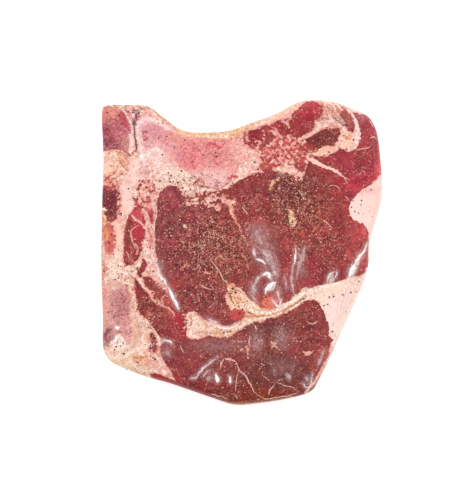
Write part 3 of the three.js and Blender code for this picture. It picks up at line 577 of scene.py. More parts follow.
# Thin sinews and marbling: path and half-widths in millimetres at both ends.
VEINS = {
    "eye border": ([152, 193, 155, 203, 156.5, 212, 154, 225, 154, 245, 156, 265, 158, 274], 0.6,
      0.5),
    "eye streak": ([210.3, 258.4, 216.8, 267, 223.3, 278, 227.7, 283.4], 0.35, 0.6),
    "low streak": ([198.4, 283.4, 204.9, 286.6, 213.6, 289.9], 0.45, 0.3),
    "low streak fork": ([209.2, 282.3, 211.5, 286, 213.6, 289.9], 0.2, 0.25),
    "left scratch": ([242, 207, 245, 210.5, 248.4, 214.5], 0.4, 0.45),
    "right scratch": ([322.9, 219.6, 327, 223.5, 332, 227.8], 0.45, 0.4),
    "right curl": ([329, 186.5, 333, 185.5, 337.5, 187.5, 340, 191], 0.3, 0.25),
    "right tick": ([330, 200, 334, 197], 0.3, 0.2),
    "right tail": ([345.3, 196, 349.4, 201], 0.3, 0.25),
    "spiced line": ([299, 193, 302.5, 197, 305.5, 200], 0.3, 0.35),
    "outer thread": ([354, 151.2, 359.6, 149.2, 365.7, 148.2, 371.3, 145.6], 0.35, 0.3),
    "outer hook": ([369.3, 139, 373.9, 137.4, 376.9, 140.5], 0.35, 0.3),
    "outer end": ([343, 176.7, 346, 180.5, 349, 184], 0.35, 0.2),
    "corner line": ([322.3, 112.4, 328, 116.5, 334, 120.4, 340, 124], 0.4, 0.35),
    "corner edge": ([369.5, 120.6, 371.5, 124, 372.9, 127.8], 0.6, 0.4),
    "brown edge": ([299, 140.6, 307.5, 137.4, 314, 134, 319, 130.6], 0.4, 0.8),
    "lower thread": ([275.7, 382.4, 284.3, 384.6, 290.9, 386.7, 298.5, 391], 0.35, 0.3),
    "lower thread left": ([274.6, 383.5, 270.2, 388.9, 269, 394.3], 0.45, 0.5),
    "lower tick": ([264, 376, 267, 378, 269, 381.3], 0.35, 0.2),
    "bottom line": ([259.6, 395.4, 266, 397.8, 277, 397.4, 290, 394.8, 299.6, 391], 0.5, 0.4),
    "fork right": ([238.5, 370, 236.4, 377, 235.8, 384, 234.2, 390.7], 0.4, 0.35),
    "fork left": ([234.2, 393.7, 236, 396, 237, 398.4], 0.35, 0.3),
    "middle vein": ([249.6, 333.5, 250, 337.8, 248.5, 342, 249.6, 348.7], 0.3, 0.45),
    "middle tick": ([254.5, 324.8, 255.5, 329], 0.5, 0.35),
    "middle dash": ([237, 340.5, 240.5, 341.8], 0.4, 0.3),
    "upper wisp": ([307.2, 320.4, 310.4, 323, 315.9, 322.6, 318, 320.4], 0.3, 0.55),
    "wisp tail": ([306, 354, 310.4, 353, 313, 349.8], 0.5, 0.3),
    "pocket sinew": ([138.5, 226.3, 135, 227.6, 132.2, 231, 131.2, 235.5, 132, 241, 134.6, 247,
      136, 250], 0.5, 0.42),
    "fold seam": ([132.3, 266, 138.8, 260.6, 143, 253, 146.4, 250.8], 0.7, 0.7),
    "cord line": ([101.8, 245, 104, 254, 106.5, 266], 0.4, 0.6),
    "sinew": ([148.8, 322.4, 153, 328, 157.5, 335.5, 159, 341, 159.4, 346], 0.55, 0.5),
    "wedge thread": ([160.5, 300, 163, 296, 166, 293], 0.2, 0.25),
    "left vein": ([180, 345, 183, 350, 184.5, 352], 0.45, 0.3),
    "pocket low sinew": ([126.6, 250, 128.6, 254.5, 130.5, 260], 0.35, 0.3),
    "hip rim": ([137.8, 127, 139, 134, 141, 141, 143, 148.5, 144.6, 154.5], 0.5, 0.8),
    "fork stem": ([219.5, 369, 221.2, 363, 224.4, 358], 0.45, 0.75),
    "fork bridge": ([224, 358.4, 229.8, 359.4, 235.4, 361.7], 0.8, 0.7),
    "fork leg": ([235, 361.4, 238.7, 368.3, 244, 374.8, 249.6, 382.4, 256, 392.2, 260, 395.6], 0.6,
      0.4),
    "bottom line left": ([211, 393.6, 219, 396.4, 229, 398], 0.4, 0.3),
}

# Zones of spice and how thickly it lies there, from 0 to 1.
SPICED = {
    "eye middle": (214, 248, 42, 42, 0.84),
    "eye spiced": (296, 206, 34, 32, 0.78),
    "eye right": (318, 246, 34, 30, 0.42),
    "eye left": (176, 228, 24, 40, 0.42),
    "eye upper": (250, 205, 18, 18, 0.4),
    "eye low": (205, 296, 32, 16, 0.6),
    "below hip": (194, 186, 34, 13, 0.6),
    "inner patch": (234, 294, 14, 14, 0.5),
    "lower right": (300, 330, 30, 20, 0.3),
    "lower": (245, 352, 50, 28, 0.2),
    "lower bottom": (240, 388, 30, 14, 0.25),
    "wedge": (152, 308, 16, 28, 0.5),
    "outer": (330, 166, 20, 12, 0.12),
    "brown band": (322, 139, 16, 8, 0.35),
    "spine": (122, 316, 12, 28, 0.3),
    "hip": (205, 152, 30, 20, 0.1),
    "seam blob": (192, 318, 8, 8, 0.15),
    "left fat": (116, 318, 20, 46, 0.2),
    "junction": (124, 272, 16, 12, 0.4),
    "seam": (262, 314, 62, 9, 0.14),
    "corner": (334, 112, 14, 10, 0.25),
}

# Zones of each sawn bone's colours.
BONE_TINTS = {
    "sacrum": {
        "upper left": (112, 114, 8, 5, (226, 136, 122)),
        "upper right": (123, 117, 4, 8, (180, 62, 72)),
        "lower left": (108, 138, 8, 9, (146, 58, 70)),
        "middle": (118, 132, 8, 8, (186, 94, 106)),
        "lower right": (126, 141, 4, 8, (206, 122, 124)),
        "foot": (112, 147, 10, 2.5, (176, 92, 100)),
        "sheath": (132, 132, 2.2, 20, (240, 188, 184)),
    },
    "hip": {
        "crest": (152, 122, 12, 3, (246, 196, 188)),
        "upper left": (152, 129, 8, 6, (222, 146, 154)),
        "left": (146, 142, 5, 8, (230, 166, 166)),
        "deep pink": (188, 157, 14, 11, (242, 138, 142)),
        "mottled": (216, 154, 14, 12, (242, 154, 150)),
        "top": (186, 138, 26, 4, (236, 152, 144)),
        "lower arc": (208, 179, 20, 7, (250, 194, 188)),
        "pale triangle": (156, 157, 10, 7, (252, 216, 206)),
        "low left": (166, 166, 12, 6, (252, 206, 192)),
        "middle": (172, 150, 8, 8, (243, 168, 164)),
        "right end": (237, 152, 6, 14, (246, 176, 164)),
    },
    "spine": {
        "top": (116, 286, 10, 4, (242, 184, 170)),
        "core": (121, 304, 7, 14, (196, 118, 122)),
        "core low": (126, 328, 7, 12, (228, 156, 152)),
        "middle left": (112, 318, 5, 10, (224, 160, 156)),
        "left": (105, 310, 3, 26, (232, 156, 144)),
        "right": (134, 318, 3, 24, (246, 196, 170)),
        "low left": (107, 336, 4, 7, (170, 100, 104)),
        "low": (119, 348, 10, 5, (250, 220, 202)),
    },
}

# Zones of each bone where its hard pale rim shows, and how clearly.
RIM_SHARES = {
    "sacrum": {"sheath": (131, 132, 4, 20, 0.8)},
    "hip": {
        "left": (138, 138, 6, 22, 1.0),
        "top left": (150, 121, 16, 6, 0.9),
        "low": (204, 186, 22, 6, 0.35),
    },
    "spine": {"right": (134, 318, 5, 26, 0.5), "top": (116, 283, 12, 5, 0.4)},
}

# Zones of each bone where blood shows in the pores, and how much of it.
BLOOD = {
    "sacrum": {"all": (114, 128, 14, 20, 0.5), "lower left": (108, 138, 7, 10, 0.9)},
    "hip": {
        "deep": (188, 156, 18, 14, 0.9),
        "mottled": (216, 152, 14, 14, 1.0),
        "spot": (146, 136, 4, 5, 1.0),
        "orange spot": (199, 182, 6, 4, 0.9),
        "right": (233, 165, 8, 14, 0.7),
        "all": (190, 150, 60, 40, 0.25),
    },
    "spine": {"core": (120, 310, 9, 26, 0.6)},
}

# Each bone's node, the middle of its rings and how strongly its blood shows.
SAWN_BONES = {
    "sacrum": ("sacrum_bone", (-77, 76), 0.8),
    "hip": ("hip_bone", (-25, 59), 0.75),
    "spine": ("spine_bone", (-76, -40), 0.4),
}

# Painted highlights: white laid on the film along its creases where they catch the light, some as
# soft painted sheen: path, half-widths in millimetres at both ends and strength.
PAINTED_GLARES = {
    "outer streak": ([366.8, 243.6, 363.7, 250.9, 358, 258, 353.6, 265.6, 352, 274], 0.5, 1.0, 1.0),
    "outer streak side": ([362, 256, 357.6, 264, 354.4, 272, 351.4, 279], 0.35, 0.5, 0.6),
    "long streak": ([347, 281, 343.6, 291, 340, 303, 336.6, 316, 334.3, 325], 0.6, 0.3, 0.55),
    "long streak edge": ([360.4, 281.3, 352.8, 300.9, 347.4, 316, 340.9, 329], 0.35, 0.3, 0.4),
    "corner edge": ([366, 277, 357, 299, 346, 322, 334, 346], 0.7, 0.5, 0.6),
    "teardrop left": ([334.6, 271.6, 330, 274, 327.4, 278, 326.6, 284], 0.5, 0.5, 0.85),
    "teardrop right": ([335.6, 271.2, 336.8, 274.6, 333.4, 279.6, 331, 285], 0.5, 0.5, 0.75),
    "upright": ([295.2, 248.6, 295.2, 255, 294.4, 263], 0.4, 0.6, 0.95),
    "upright haze": ([305, 247, 301.6, 257, 298, 268, 296, 280], 1.8, 1.0, 0.36),
    "short haze": ([284.3, 275, 285.6, 284, 287, 291], 0.8, 0.6, 0.4),
    "upper arc": ([262, 275.6, 265.4, 273.6, 268.4, 274.6, 269.4, 278], 0.9, 1.2, 0.95),
    "upper arc tail": ([256, 281, 253.4, 287, 252, 293], 0.7, 0.5, 0.4),
    "lower arc": ([265.4, 293.4, 266.6, 288.6, 270, 284.6, 275.4, 282], 0.7, 0.8, 1.0),
    "thin arc": ([255.8, 259.4, 261, 260.4, 265.6, 264.2], 0.5, 0.45, 0.9),
    "veil edge": ([253.2, 248, 254, 253, 256, 257], 1.0, 0.5, 0.6),
    "veil top": ([262, 245.6, 266, 243, 268, 246], 0.6, 0.5, 0.35),
    "seam tick": ([271.4, 299.4, 275.4, 303.6, 279.2, 308], 0.45, 0.45, 0.95),
    "seam tick right": ([281.4, 299, 280, 303, 279, 308], 0.4, 0.45, 0.9),
    "seam tick haze": ([277, 290, 278.6, 297, 279.6, 303], 1.2, 0.8, 0.45),
    "seam shine left": ([250, 293, 255, 299.6, 258.6, 305], 0.8, 0.5, 0.5),
    "seam shine": ([209.2, 320.2, 215.7, 325.4, 224.4, 328.4, 232, 327.4, 240, 322.6], 0.35, 0.75,
      0.85),
    "seam shine upper": ([206, 318, 212, 320.6, 219, 322], 0.5, 0.6, 0.55),
    "seam shine right": ([303, 291, 310, 288.8, 320, 287], 0.6, 0.5, 0.45),
    "eye fold": ([156.6, 272.6, 163.7, 280.1, 168, 287.6], 0.3, 0.5, 0.9),
    "eye fold bright": ([167.6, 286, 171.6, 294, 176, 303, 179.4, 309], 0.7, 0.9, 1.0),
    "wedge glint": ([161, 342.6, 164.8, 340, 170, 341.2, 171.6, 345], 0.5, 0.6, 0.8),
    "wedge haze": ([163, 352, 168, 353, 171, 356], 1.6, 1.2, 0.3),
    "spine glint": ([115.6, 325.8, 118, 327.6, 120.4, 326.6], 0.8, 0.7, 0.95),
    "spine peak left": ([113.4, 343.6, 116.4, 339, 119.4, 334.4], 0.35, 0.6, 0.95),
    "spine peak right": ([119.2, 334.4, 122.4, 338, 126, 342], 0.6, 0.35, 0.95),
    "spine crest": ([112, 287, 116.4, 289.4], 1.2, 1.0, 0.5),
    "hip glint": ([140.8, 155.4, 142.8, 158], 0.9, 0.8, 1.0),
    "scratch": ([195.4, 378.4, 199.5, 372.2, 207, 364.6, 217.9, 356.6], 0.4, 0.2, 0.9),
    "scratch foot": ([190, 378, 196, 377.4], 0.35, 0.5, 0.6),
    "scratch low": ([202.7, 376.6, 206, 372.5, 210.3, 369], 0.6, 0.4, 0.55),
    "lower spot": ([216, 373.4, 217.4, 378, 218, 382], 0.8, 1.2, 1.0),
    "lower spot right": ([229.6, 375.4, 230.2, 382.6], 0.5, 0.8, 0.95),
    "lower spot haze": ([206, 378, 213, 377], 1.8, 1.4, 0.35),
    "hook": ([302.6, 382.6, 305, 386.6, 308.3, 387.4, 310.6, 381.4, 312.4, 373], 0.4, 0.3, 0.9),
    "hook inner": ([305.4, 376, 307.6, 380.6], 0.5, 0.5, 0.5),
    "hook haze": ([306, 380, 309, 376], 1.0, 0.8, 0.35),
    "edge haze": ([318, 366, 321, 357, 324, 349], 1.1, 0.9, 0.4),
    "lower haze": ([286, 372, 288.7, 376, 290, 380], 1.3, 1.1, 0.4),
    "lower haze left": ([273.5, 367.6, 274.8, 373.4], 0.9, 0.8, 0.28),
    "side line": ([381, 205, 376, 222, 371.5, 238, 369, 250], 0.35, 0.3, 0.5),
    "left line": ([104, 243, 104.4, 252, 103.6, 262], 0.5, 0.4, 0.5),
    "outer streak low": ([355.6, 262, 352, 268, 349.4, 275, 347, 282], 1.5, 0.7, 0.75),
    "upright low": ([294, 262, 292, 270, 291.4, 279, 292.4, 287, 293.6, 294], 0.8, 0.6, 0.5),
    "upper arc left": ([255.8, 284, 257.6, 279, 262, 275], 0.8, 0.7, 0.6),
    "lower arc right": ([275.4, 282.4, 273.6, 287.4, 268.4, 291.6], 0.4, 0.35, 0.7),
    "arc haze": ([262, 249, 268, 258, 272.6, 267, 275, 276], 2.2, 1.6, 0.34),
    "eye fold side": ([160, 272.6, 165, 279, 170, 287], 0.3, 0.3, 0.5),
    "fold haze": ([153, 256, 156.6, 266, 160.6, 276], 1.6, 1.2, 0.4),
    "hip haze": ([141, 152, 143, 158, 144.4, 164, 144.6, 169], 1.8, 0.9, 0.5),
    "teardrop fill": ([333, 274, 330.4, 279, 328.6, 285], 1.6, 1.2, 0.5),
    "lower arc fill": ([267.6, 291, 269.4, 287.4, 273, 284.2], 1.3, 1.1, 0.75),
    "veil wisps": ([253, 226, 257, 234, 262, 245], 1.2, 1.6, 0.24),
    "fold on fat": ([349, 286, 345, 298, 341, 311, 337, 322], 0.4, 0.3, 0.7),
}

# Zones where the film is hazy and carries a painted sheen, and how much so.
HAZE_AND_SHEEN = {
    "upper": (259, 236, 11, 11, 0.24),
    "left": (256, 249, 4, 7, 0.26),
    "middle": (267, 256, 8, 13, 0.3),
    "right": (275, 272, 4, 13, 0.32),
    "low": (254, 290, 5, 9, 0.3),
    "seam": (277, 292, 4, 8, 0.3),
    "arc right": (271, 277, 3.5, 6, 0.4),
    "lower muscle": (256, 341, 7, 11, 0.2),
    "lower right": (281, 337, 8, 11, 0.2),
    "lower middle": (284, 366, 13, 10, 0.08),
    "eye right": (300, 264, 5, 16, 0.16),
    "left of seam": (160, 272, 4, 10, 0.3),
    "wedge": (166, 352, 6, 6, 0.18),
    "lower left": (210, 374, 8, 6, 0.12),
    "spine": (112, 300, 7, 8, 0.15),
    "lower long": (220, 345, 30, 7, 0.12),
}

# Coarse black pepper that shows singly.
PEPPERS = [
    119.6, 115.8, 107.3, 113.3, 134.7, 111.2, 185.1, 140.3, 185.4, 148.9, 216.5, 156.8,
    203.3, 155.3, 167, 137, 159.4, 138, 157.1, 173.7, 168.6, 172.9, 181.6, 171.1, 183.1, 187.8,
    178, 182.4, 170.3, 182.1, 185.4, 191.2, 128.8, 188.8, 139.7, 180.8, 119.4, 193.6, 121.4, 213.8,
    149.8, 199.7, 144.1, 202.8, 162.7, 154.8, 309.8, 157.5, 328.6, 152.3, 330, 164, 343.4, 135.6,
    353.2, 140.2, 346, 150, 254.4, 162.6, 258, 169.4, 291.4, 222.2, 104.4, 271.2, 119, 273.8,
    153.4, 271.2, 117.6, 342.6, 121, 345.6, 123.4, 343, 116.6, 346.4, 124, 353.6, 126.8, 369.2,
    137.4, 362, 150.6, 355.8, 153.4, 357.4, 155.4, 358.8, 109, 346, 137.6, 309, 224, 332.4,
    227.2, 331.6, 230.4, 331.2, 329, 297, 333.4, 296.2, 342.6, 294.6, 350.6, 292.2, 358.6, 281.2,
    323.6, 305.4, 332, 331.4, 232.6, 288.6, 235.2, 292.4, 242.4, 309.4, 249.4, 312.2, 370.6, 190,
    361.2, 200.6, 351.2, 207.4, 354.4, 211.6,
]

# The coarse grains that the solid carries too: how many, their radii and where they may lie.
GRAINS = 64
GRAIN_LARGEST, GRAIN_SMALLEST = 1.15, 0.75
GRAIN_CLEARANCE = 3.0  # from the bones
GRAIN_SPREAD = (0.7548777, 0.5698403)  # steps that fill the area evenly
GRAIN_CORNER, GRAIN_AREA = np.array([-88, -95]), np.array([176, 190])

# Fine grains: the area they are thrown on, the throws for each grain wanted, and how far they
# stay from the outline.
FINE_AREA = ((-87, -95), (87, 95))
THROWS = 16
EDGE_CLEARANCE = 2.5

# A sinew's section as shares of its half-width and of its rise, and the step along it.
SINEW_SECTION = np.array([(-1, -0.4), (-0.7, 0.55), (0, 1), (0.7, 0.55), (1, -0.4), (0, -1.2)])
SINEW_STEP = 0.7

# The stage, in metres and watts: lamps as place, size and power.
FLOOR_REACH, CAMERA_DISTANCE, CAMERA_BASE = 2.0, 2.0, 0.012
LAMPS = {
    "left": ((-0.75, 0.25, 0.75), 0.5, 4.6),
    "right": ((0.8, 0.1, 0.7), 0.5, 4.0),
    "back": ((0.1, 0.85, 0.6), 0.5, 2.0),
}


class SteakSizes(PropertyGroup):
    """Sizes that a user would change, in millimetres unless a unit says otherwise."""

    face_step: FloatProperty(
        name="Face step", description="Distance between the points of the cut face",
        default=0.65 * MM, min=0.4 * MM, max=4 * MM, unit="LENGTH", precision=5,
    )
    film_step: FloatProperty(
        name="Film step", description="Distance between the points of the film",
        default=0.64 * MM, min=0.4 * MM, max=4 * MM, unit="LENGTH", precision=5,
    )
    under_step: FloatProperty(
        name="Underside step", description="Distance between the points of the underside",
        default=1.9 * MM, min=0.6 * MM, max=6 * MM, unit="LENGTH", precision=5,
    )
    film_gap: FloatProperty(
        name="Film gap", description="How far the meat lies below the film",
        default=0.32 * MM, min=0.1 * MM, max=1 * MM, unit="LENGTH", precision=5,
    )
    recess: FloatProperty(
        name="Recess", description="How deep the meat is hollowed where a bone lies in it",
        default=2.4 * MM, min=0.5 * MM, max=5 * MM, unit="LENGTH", precision=5,
    )
    dark_grains: IntProperty(
        name="Pepper grains", description="Fine grains of dark pepper", default=2600, min=0,
        max=9000,
    )
    pale_grains: IntProperty(
        name="Pale granules", description="Fine granules of pale spice", default=3000, min=0,
        max=9000,
    )
    grain_radius: FloatProperty(
        name="Grain radius", description="Usual radius of a fine grain",
        default=0.5 * MM, min=0.1 * MM, max=1 * MM, unit="LENGTH", precision=5,
    )


class SteakColours(PropertyGroup):
    """Colours that a user would change, as the eye sees them."""

    pepper: FloatVectorProperty(
        name="Pepper", description="Dark pepper", subtype="COLOR_GAMMA", size=3, min=0, max=1,
        default=(0.27, 0.07, 0.07),
    )
    granule: FloatVectorProperty(
        name="Granules", description="Pale granules of spice", subtype="COLOR_GAMMA", size=3,
        min=0, max=1, default=(0.94, 0.75, 0.67),
    )
    vein: FloatVectorProperty(
        name="Sinew", description="Thin sinews and marbling", subtype="COLOR_GAMMA", size=3,
        min=0, max=1, default=(0.95, 0.74, 0.68),
    )
    bone_rim: FloatVectorProperty(
        name="Bone rim", description="Hard white rim of the sawn bones", subtype="COLOR_GAMMA",
        size=3, min=0, max=1, default=(0.97, 0.86, 0.84),
    )
    # The white of the film's painted highlights.
    film: FloatVectorProperty(
        name="Film", description="The film where it turns white", subtype="COLOR_GAMMA", size=3,
        min=0, max=1, default=(1.0, 0.965, 0.95),
    )
    floor: FloatVectorProperty(
        name="Floor", description="The plain floor", subtype="COLOR_GAMMA", size=3, min=0,
        max=1, default=(0.98, 0.98, 0.98),
    )


def paired(path):
    """The numbers of a path as rows of x and y."""
    return np.asarray(path, float).reshape(-1, 2)


def from_photo(path):
    """Pixels of the photo as millimetres: right is +x, up is +y, from the pixel at the origin."""
    return (paired(path) - PHOTO_ORIGIN) * (PIXEL, -PIXEL)


def smooth(value, low, high):
    """0 up to low, 1 from high on, and an S between them: t t (3 - 2 t)."""
    t = np.clip((value - low) / (high - low), 0, 1)
    return t * t * (3 - 2 * t)


def spline(path, closed=False, steps=8):
    """A uniform Catmull-Rom curve through a path, its open ends carried on straight."""
    p = paired(path)
    if closed:
        p = np.vstack([p[-1], p, p[:2]])
    else:
        p = np.vstack([2 * p[0] - p[1], p, 2 * p[-1] - p[-2]])
    a, b, c, d = p[:-3, None], p[1:-2, None], p[2:-1, None], p[3:, None]
    t = (np.arange(steps) / steps)[None, :, None]
    cubic = (3 * b - a - 3 * c + d) * t**3 + (2 * a - 5 * b + 4 * c - d) * t**2
    run = (0.5 * (cubic + (c - a) * t + 2 * b)).reshape(-1, 2)
    return np.vstack([run, p[-2]])


def resample(run, count, closed=False):
    """Points at even distances along a run; a closed one leaves out its repeated last point."""
    length = np.concatenate([[0], np.cumsum(np.hypot(*np.diff(run, axis=0).T))])
    at = np.linspace(0, length[-1], count, endpoint=not closed)
    return np.stack([np.interp(at, length, run[:, k]) for k in range(run.shape[1])], axis=1)


def nearest(xy, run, reach):
    """How far each point is from a run, at most reach, and where along the run from 0 to 1."""
    away = np.full(len(xy), float(reach))
    along = np.zeros(len(xy))
    close = (xy > run.min(0) - reach) & (xy < run.max(0) + reach)
    start, step = run[:-1], np.diff(run, axis=0)
    squared = (step**2).sum(1) + 1e-12
    parts = 1 + len(xy) * len(run) // AT_ONCE
    for part in np.array_split(np.flatnonzero(close.all(1)), parts):
        gap = xy[part, None] - start
        t = np.clip((gap * step).sum(2) / squared, 0, 1)
        distance = np.hypot(*np.moveaxis(gap - t[..., None] * step, 2, 0))
        best = distance.argmin(1) if len(part) else part
        rows = np.arange(len(part))
        away[part] = np.minimum(distance[rows, best], reach)
        along[part] = (best + t[rows, best]) / len(start)
    return away, along


def inside(xy, run):
    """True for the points in a closed run: a line from them crosses it an odd number of times."""
    odd = np.zeros(len(xy), bool)
    close = np.flatnonzero(((xy > run.min(0)) & (xy < run.max(0))).all(1))
    x, y = xy[close].T
    count = np.zeros(len(close), int)
    for a, b in zip(run[:-1], run[1:]):
        crosses = (a[1] > y) != (b[1] > y)
        rise = b[1] - a[1] if b[1] != a[1] else 1.0
        count += crosses & (x < a[0] + (y - a[1]) * (b[0] - a[0]) / rise)
    odd[close] = count % 2 == 1
    return odd


def patch_field(xy, run, reach=FIELD_REACH):
    """Millimetres inside a closed run, negative outside it, and never past reach."""
    away, _ = nearest(xy, run, reach)
    return np.where(inside(xy, run), away, -away)


def band_field(xy, run, half_widths, reach=8):
    """Millimetres inside a band along a run whose half-width goes evenly from first to last."""
    away, along = nearest(xy, run, reach)
    return half_widths[0] + (half_widths[1] - half_widths[0]) * along - away


def spots(xy, zones, pixels=True):
    """For each zone, how far out of its ellipse every point is: 0 in the middle, 1 at its edge."""
    for x, y, wide, high, *rest in zones.values():
        middle = from_photo((x, y)) if pixels else (x, y)
        reach = np.array([wide, high]) * (PIXEL if pixels else 1)
        yield (((xy - middle) / reach) ** 2).sum(1), rest


def blended_tint(xy, zones):
    """A colour for each point: every zone's tint, weighted by 1 / (0.12 + q)^2 of its ellipse."""
    total, weight = np.zeros((len(xy), 3)), np.zeros(len(xy))
    for q, (tint,) in spots(xy, zones):
        share = 1 / (0.12 + q) ** 2
        total += share[:, None] * light(tint)
        weight += share
    return total / weight[:, None]


def light(tint):
    """A colour of 0 to 255 as the eye names it, turned into the values that shaders use."""
    c = np.asarray(tint, float) / 255
    return np.where(c <= 0.04045, c / 12.92, ((c + 0.055) / 1.055) ** 2.4)


def as_light(colour):
    """A colour property, held as the eye sees it, turned into a shader's colour with alpha."""
    return (*light(np.array(colour) * 255), 1.0)


def value_noise(xy, cell, seed):
    """Smooth noise from -1 to 1: chance heights at the corners of square cells, blended by an S."""
    table = np.random.default_rng(seed).uniform(-1, 1, (NOISE_CELLS + 1, NOISE_CELLS + 1))
    at = xy / cell + NOISE_CELLS // 2
    corner = np.floor(at).astype(int)
    t = smooth(at - corner, 0, 1)
    i, j = np.clip(corner, 0, NOISE_CELLS - 1).T
    low = table[i, j] * (1 - t[:, 0]) + table[i + 1, j] * t[:, 0]
    high = table[i, j + 1] * (1 - t[:, 0]) + table[i + 1, j + 1] * t[:, 0]
    return low * (1 - t[:, 1]) + high * t[:, 1]


def drift(xy, cell, seed):
    """Two noises of the same cell side by side, one for x and one for y."""
    return np.stack([value_noise(xy, cell, seed), value_noise(xy, cell, seed + 1)], axis=1)


def swayed(xy):
    """The points moved a little by noise, so that what is drawn on them gets a living edge."""
    return xy + (0.55 * drift(xy, 4.3, 1) + 0.3 * drift(xy, 1.7, 6))


OUTLINE_RUN = spline(OUTLINE, closed=True, steps=24) + CENTRING
FURROW_RUNS = [(d, w, spline(path) + CENTRING) for d, w, path in FURROWS.values()]


def sawn_side(y):
    """How far left the slice's straight sawn side stands at each y."""
    side = OUTLINE_RUN[OUTLINE_RUN[:, 0] < SAWN_FROM]
    side = side[np.argsort(side[:, 1])]
    return np.interp(y, side[:, 1], side[:, 0])


def sawn_bone_run(name):
    """A bone's closed outline, cut off just inside the slice's sawn side."""
    run = spline(BONES[name], closed=True, steps=12) + CENTRING
    run[:, 0] = np.maximum(run[:, 0], sawn_side(run[:, 1]) + SIDE_GAP)
    return run


BONE_RUNS = {name: sawn_bone_run(name) for name in BONES}


def face_height(xy):
    """Height of the cut face: two crossed ripples, soft humps, and furrows along the seams."""
    x, y = xy.T
    z = THICKNESS + RIPPLE * (np.sin(x / 9 + y / 17) + np.sin(y / 11 - x / 23 + 1))
    for q, (rise,) in spots(xy - CENTRING, HUMPS, pixels=False):
        z += rise * np.clip(1 - q, 0, None) ** 2
    for depth, half_width, run in FURROW_RUNS:
        away, _ = nearest(xy, run, 3 * half_width)
        z -= depth * np.exp(-((away / half_width) ** 2))
    return z


def top_height(xy):
    """Height of the top, rounded over by a quarter of an ellipse towards the outline."""
    soft = smooth(xy[:, 0], SAWN_SIDE_X, SOFT_SIDES_X)
    across = SAWN_ROUND[0] + (SOFT_ROUND[0] - SAWN_ROUND[0]) * soft
    down = SAWN_ROUND[1] + (SOFT_ROUND[1] - SAWN_ROUND[1]) * soft
    gap, _ = nearest(xy, OUTLINE_RUN, SOFT_ROUND[0])
    left = 1 - np.minimum(gap / across, 1)
    return face_height(xy) - down * (1 - np.sqrt(1 - left**2))


def inward(points):
    """Unit normals of a closed anticlockwise ring, pointing into it."""
    run = np.roll(points, -1, axis=0) - np.roll(points, 1, axis=0)
    normal = np.stack([-run[:, 1], run[:, 0]], axis=1)
    return normal / np.linalg.norm(normal, axis=1, keepdims=True)


def stitched(counts):
    """Triangles between rings that follow each other upwards, each with its own number of points.

    Around each pair of rings, the ring whose next point comes first moves on.
    """
    faces, start = [], 0
    for n, m in zip(counts[:-1], counts[1:]):
        share = np.concatenate([(np.arange(n) + 1) / n, (np.arange(m) + 1) / m + 1e-9])
        lower = np.argsort(share, kind="stable") < n
        i = np.cumsum(lower) - lower
        j = np.cumsum(~lower) - ~lower
        third = np.where(lower, start + (i + 1) % n, start + n + (j + 1) % m)
        faces.append(np.stack([start + i % n, third, start + n + j % m], axis=1))
        start += n
    return np.vstack(faces)


def fan(count, start, tip, upwards):
    """Triangles that close a ring of points with a tip."""
    i = np.arange(count)
    a, b = start + i, start + (i + 1) % count
    order = [a, b, np.full(count, tip)] if upwards else [b, a, np.full(count, tip)]
    return np.stack(order, axis=1)


def ring_solid(rings, under_tip, top_tip):
    """A closed surface through rings of points, from a tip below to a tip above."""
    counts = [len(ring) for ring in rings]
    points = np.vstack([*rings, under_tip, top_tip])
    last = sum(counts[:-1])
    faces = np.vstack([
        fan(counts[0], 0, len(points) - 2, upwards=False),
        stitched(counts),
        fan(counts[-1], last, len(points) - 1, upwards=True),
    ])
    return points, faces


def under_inset(z):
    """How far the wall stands in where it rounds under: a quarter of an ellipse up to z."""
    left = 1 - np.minimum(z / UNDER_ROUND, 1)
    return UNDER_INSET * (1 - np.sqrt(1 - left**2))


def slab(run, middle, inset, step, under_step, floor, top, rounds_under=True):
    """A slab seen from above as a closed run drawn in by inset: rings of underside, wall and top.

    Rings of the underside and the top are the run shrunk evenly towards the middle. top gives the
    height at each place; the wall goes straight up to it.
    """
    outer = resample(run, AROUND, closed=True)
    outer = outer + inward(outer) * inset - middle
    size = np.hypot(*outer.T).mean()
    around = np.hypot(*(np.roll(outer, -1, axis=0) - outer).T).sum()
    closed = np.vstack([outer, outer[:1]])

    def ring(scale, pull, spacing):
        count = max(6, int(round(around * scale / spacing)))
        points = resample(closed, count, closed=True)
        return points * scale + inward(points) * pull + middle

    def at_height(points, z):
        return np.column_stack([points, np.broadcast_to(z, len(points))])

    base = under_inset(0) if rounds_under else PLUG_CHAMFER
    rings = []
    for scale in np.arange(under_step, size, under_step)[:-1] / size:
        rings.append(at_height(ring(scale, base * scale, under_step), floor))
    levels = UNDER_LEVELS if rounds_under else PLUG_LEVELS
    for k, z in enumerate(levels):
        spacing = under_step + (step - under_step) * k / (len(levels) - 1)
        pull = under_inset(z) if rounds_under else base * (1 - k)
        rings.append(at_height(ring(1, pull, spacing), floor + z))
    rim = ring(1, 0, step)
    rim_top = top(rim)
    for t in np.linspace(0, 1, WALL_RINGS + 2)[1:-1]:
        rings.append(np.column_stack([rim, (floor + levels[-1]) * (1 - t) + rim_top * t]))
    steps = np.concatenate([RIM_STEPS, np.arange(FACE_FROM, size, step)])
    for scale in 1 - steps / size:
        points = ring(scale, 0, step)
        rings.append(np.column_stack([points, top(points)]))
    tip = np.asarray(middle, float)[None]
    return ring_solid(rings, np.column_stack([tip, [floor]]), np.column_stack([tip, top(tip)]))


def bone_inside(xy, reach=3):
    """Millimetres inside the nearest bone, negative outside the bones."""
    return np.max([patch_field(xy, run, reach) for run in BONE_RUNS.values()], axis=0)


def grain_places():
    """Even places for the coarse pepper, clear of the bones and of the rounded edge."""
    places = GRAIN_CORNER + GRAIN_AREA * (np.outer(np.arange(1, 400), GRAIN_SPREAD) % 1)
    kept = patch_field(places, OUTLINE_RUN) > SOFT_ROUND[0]
    for run in BONE_RUNS.values():
        kept &= patch_field(places, run) < -GRAIN_CLEARANCE
    return places[kept][:GRAINS]


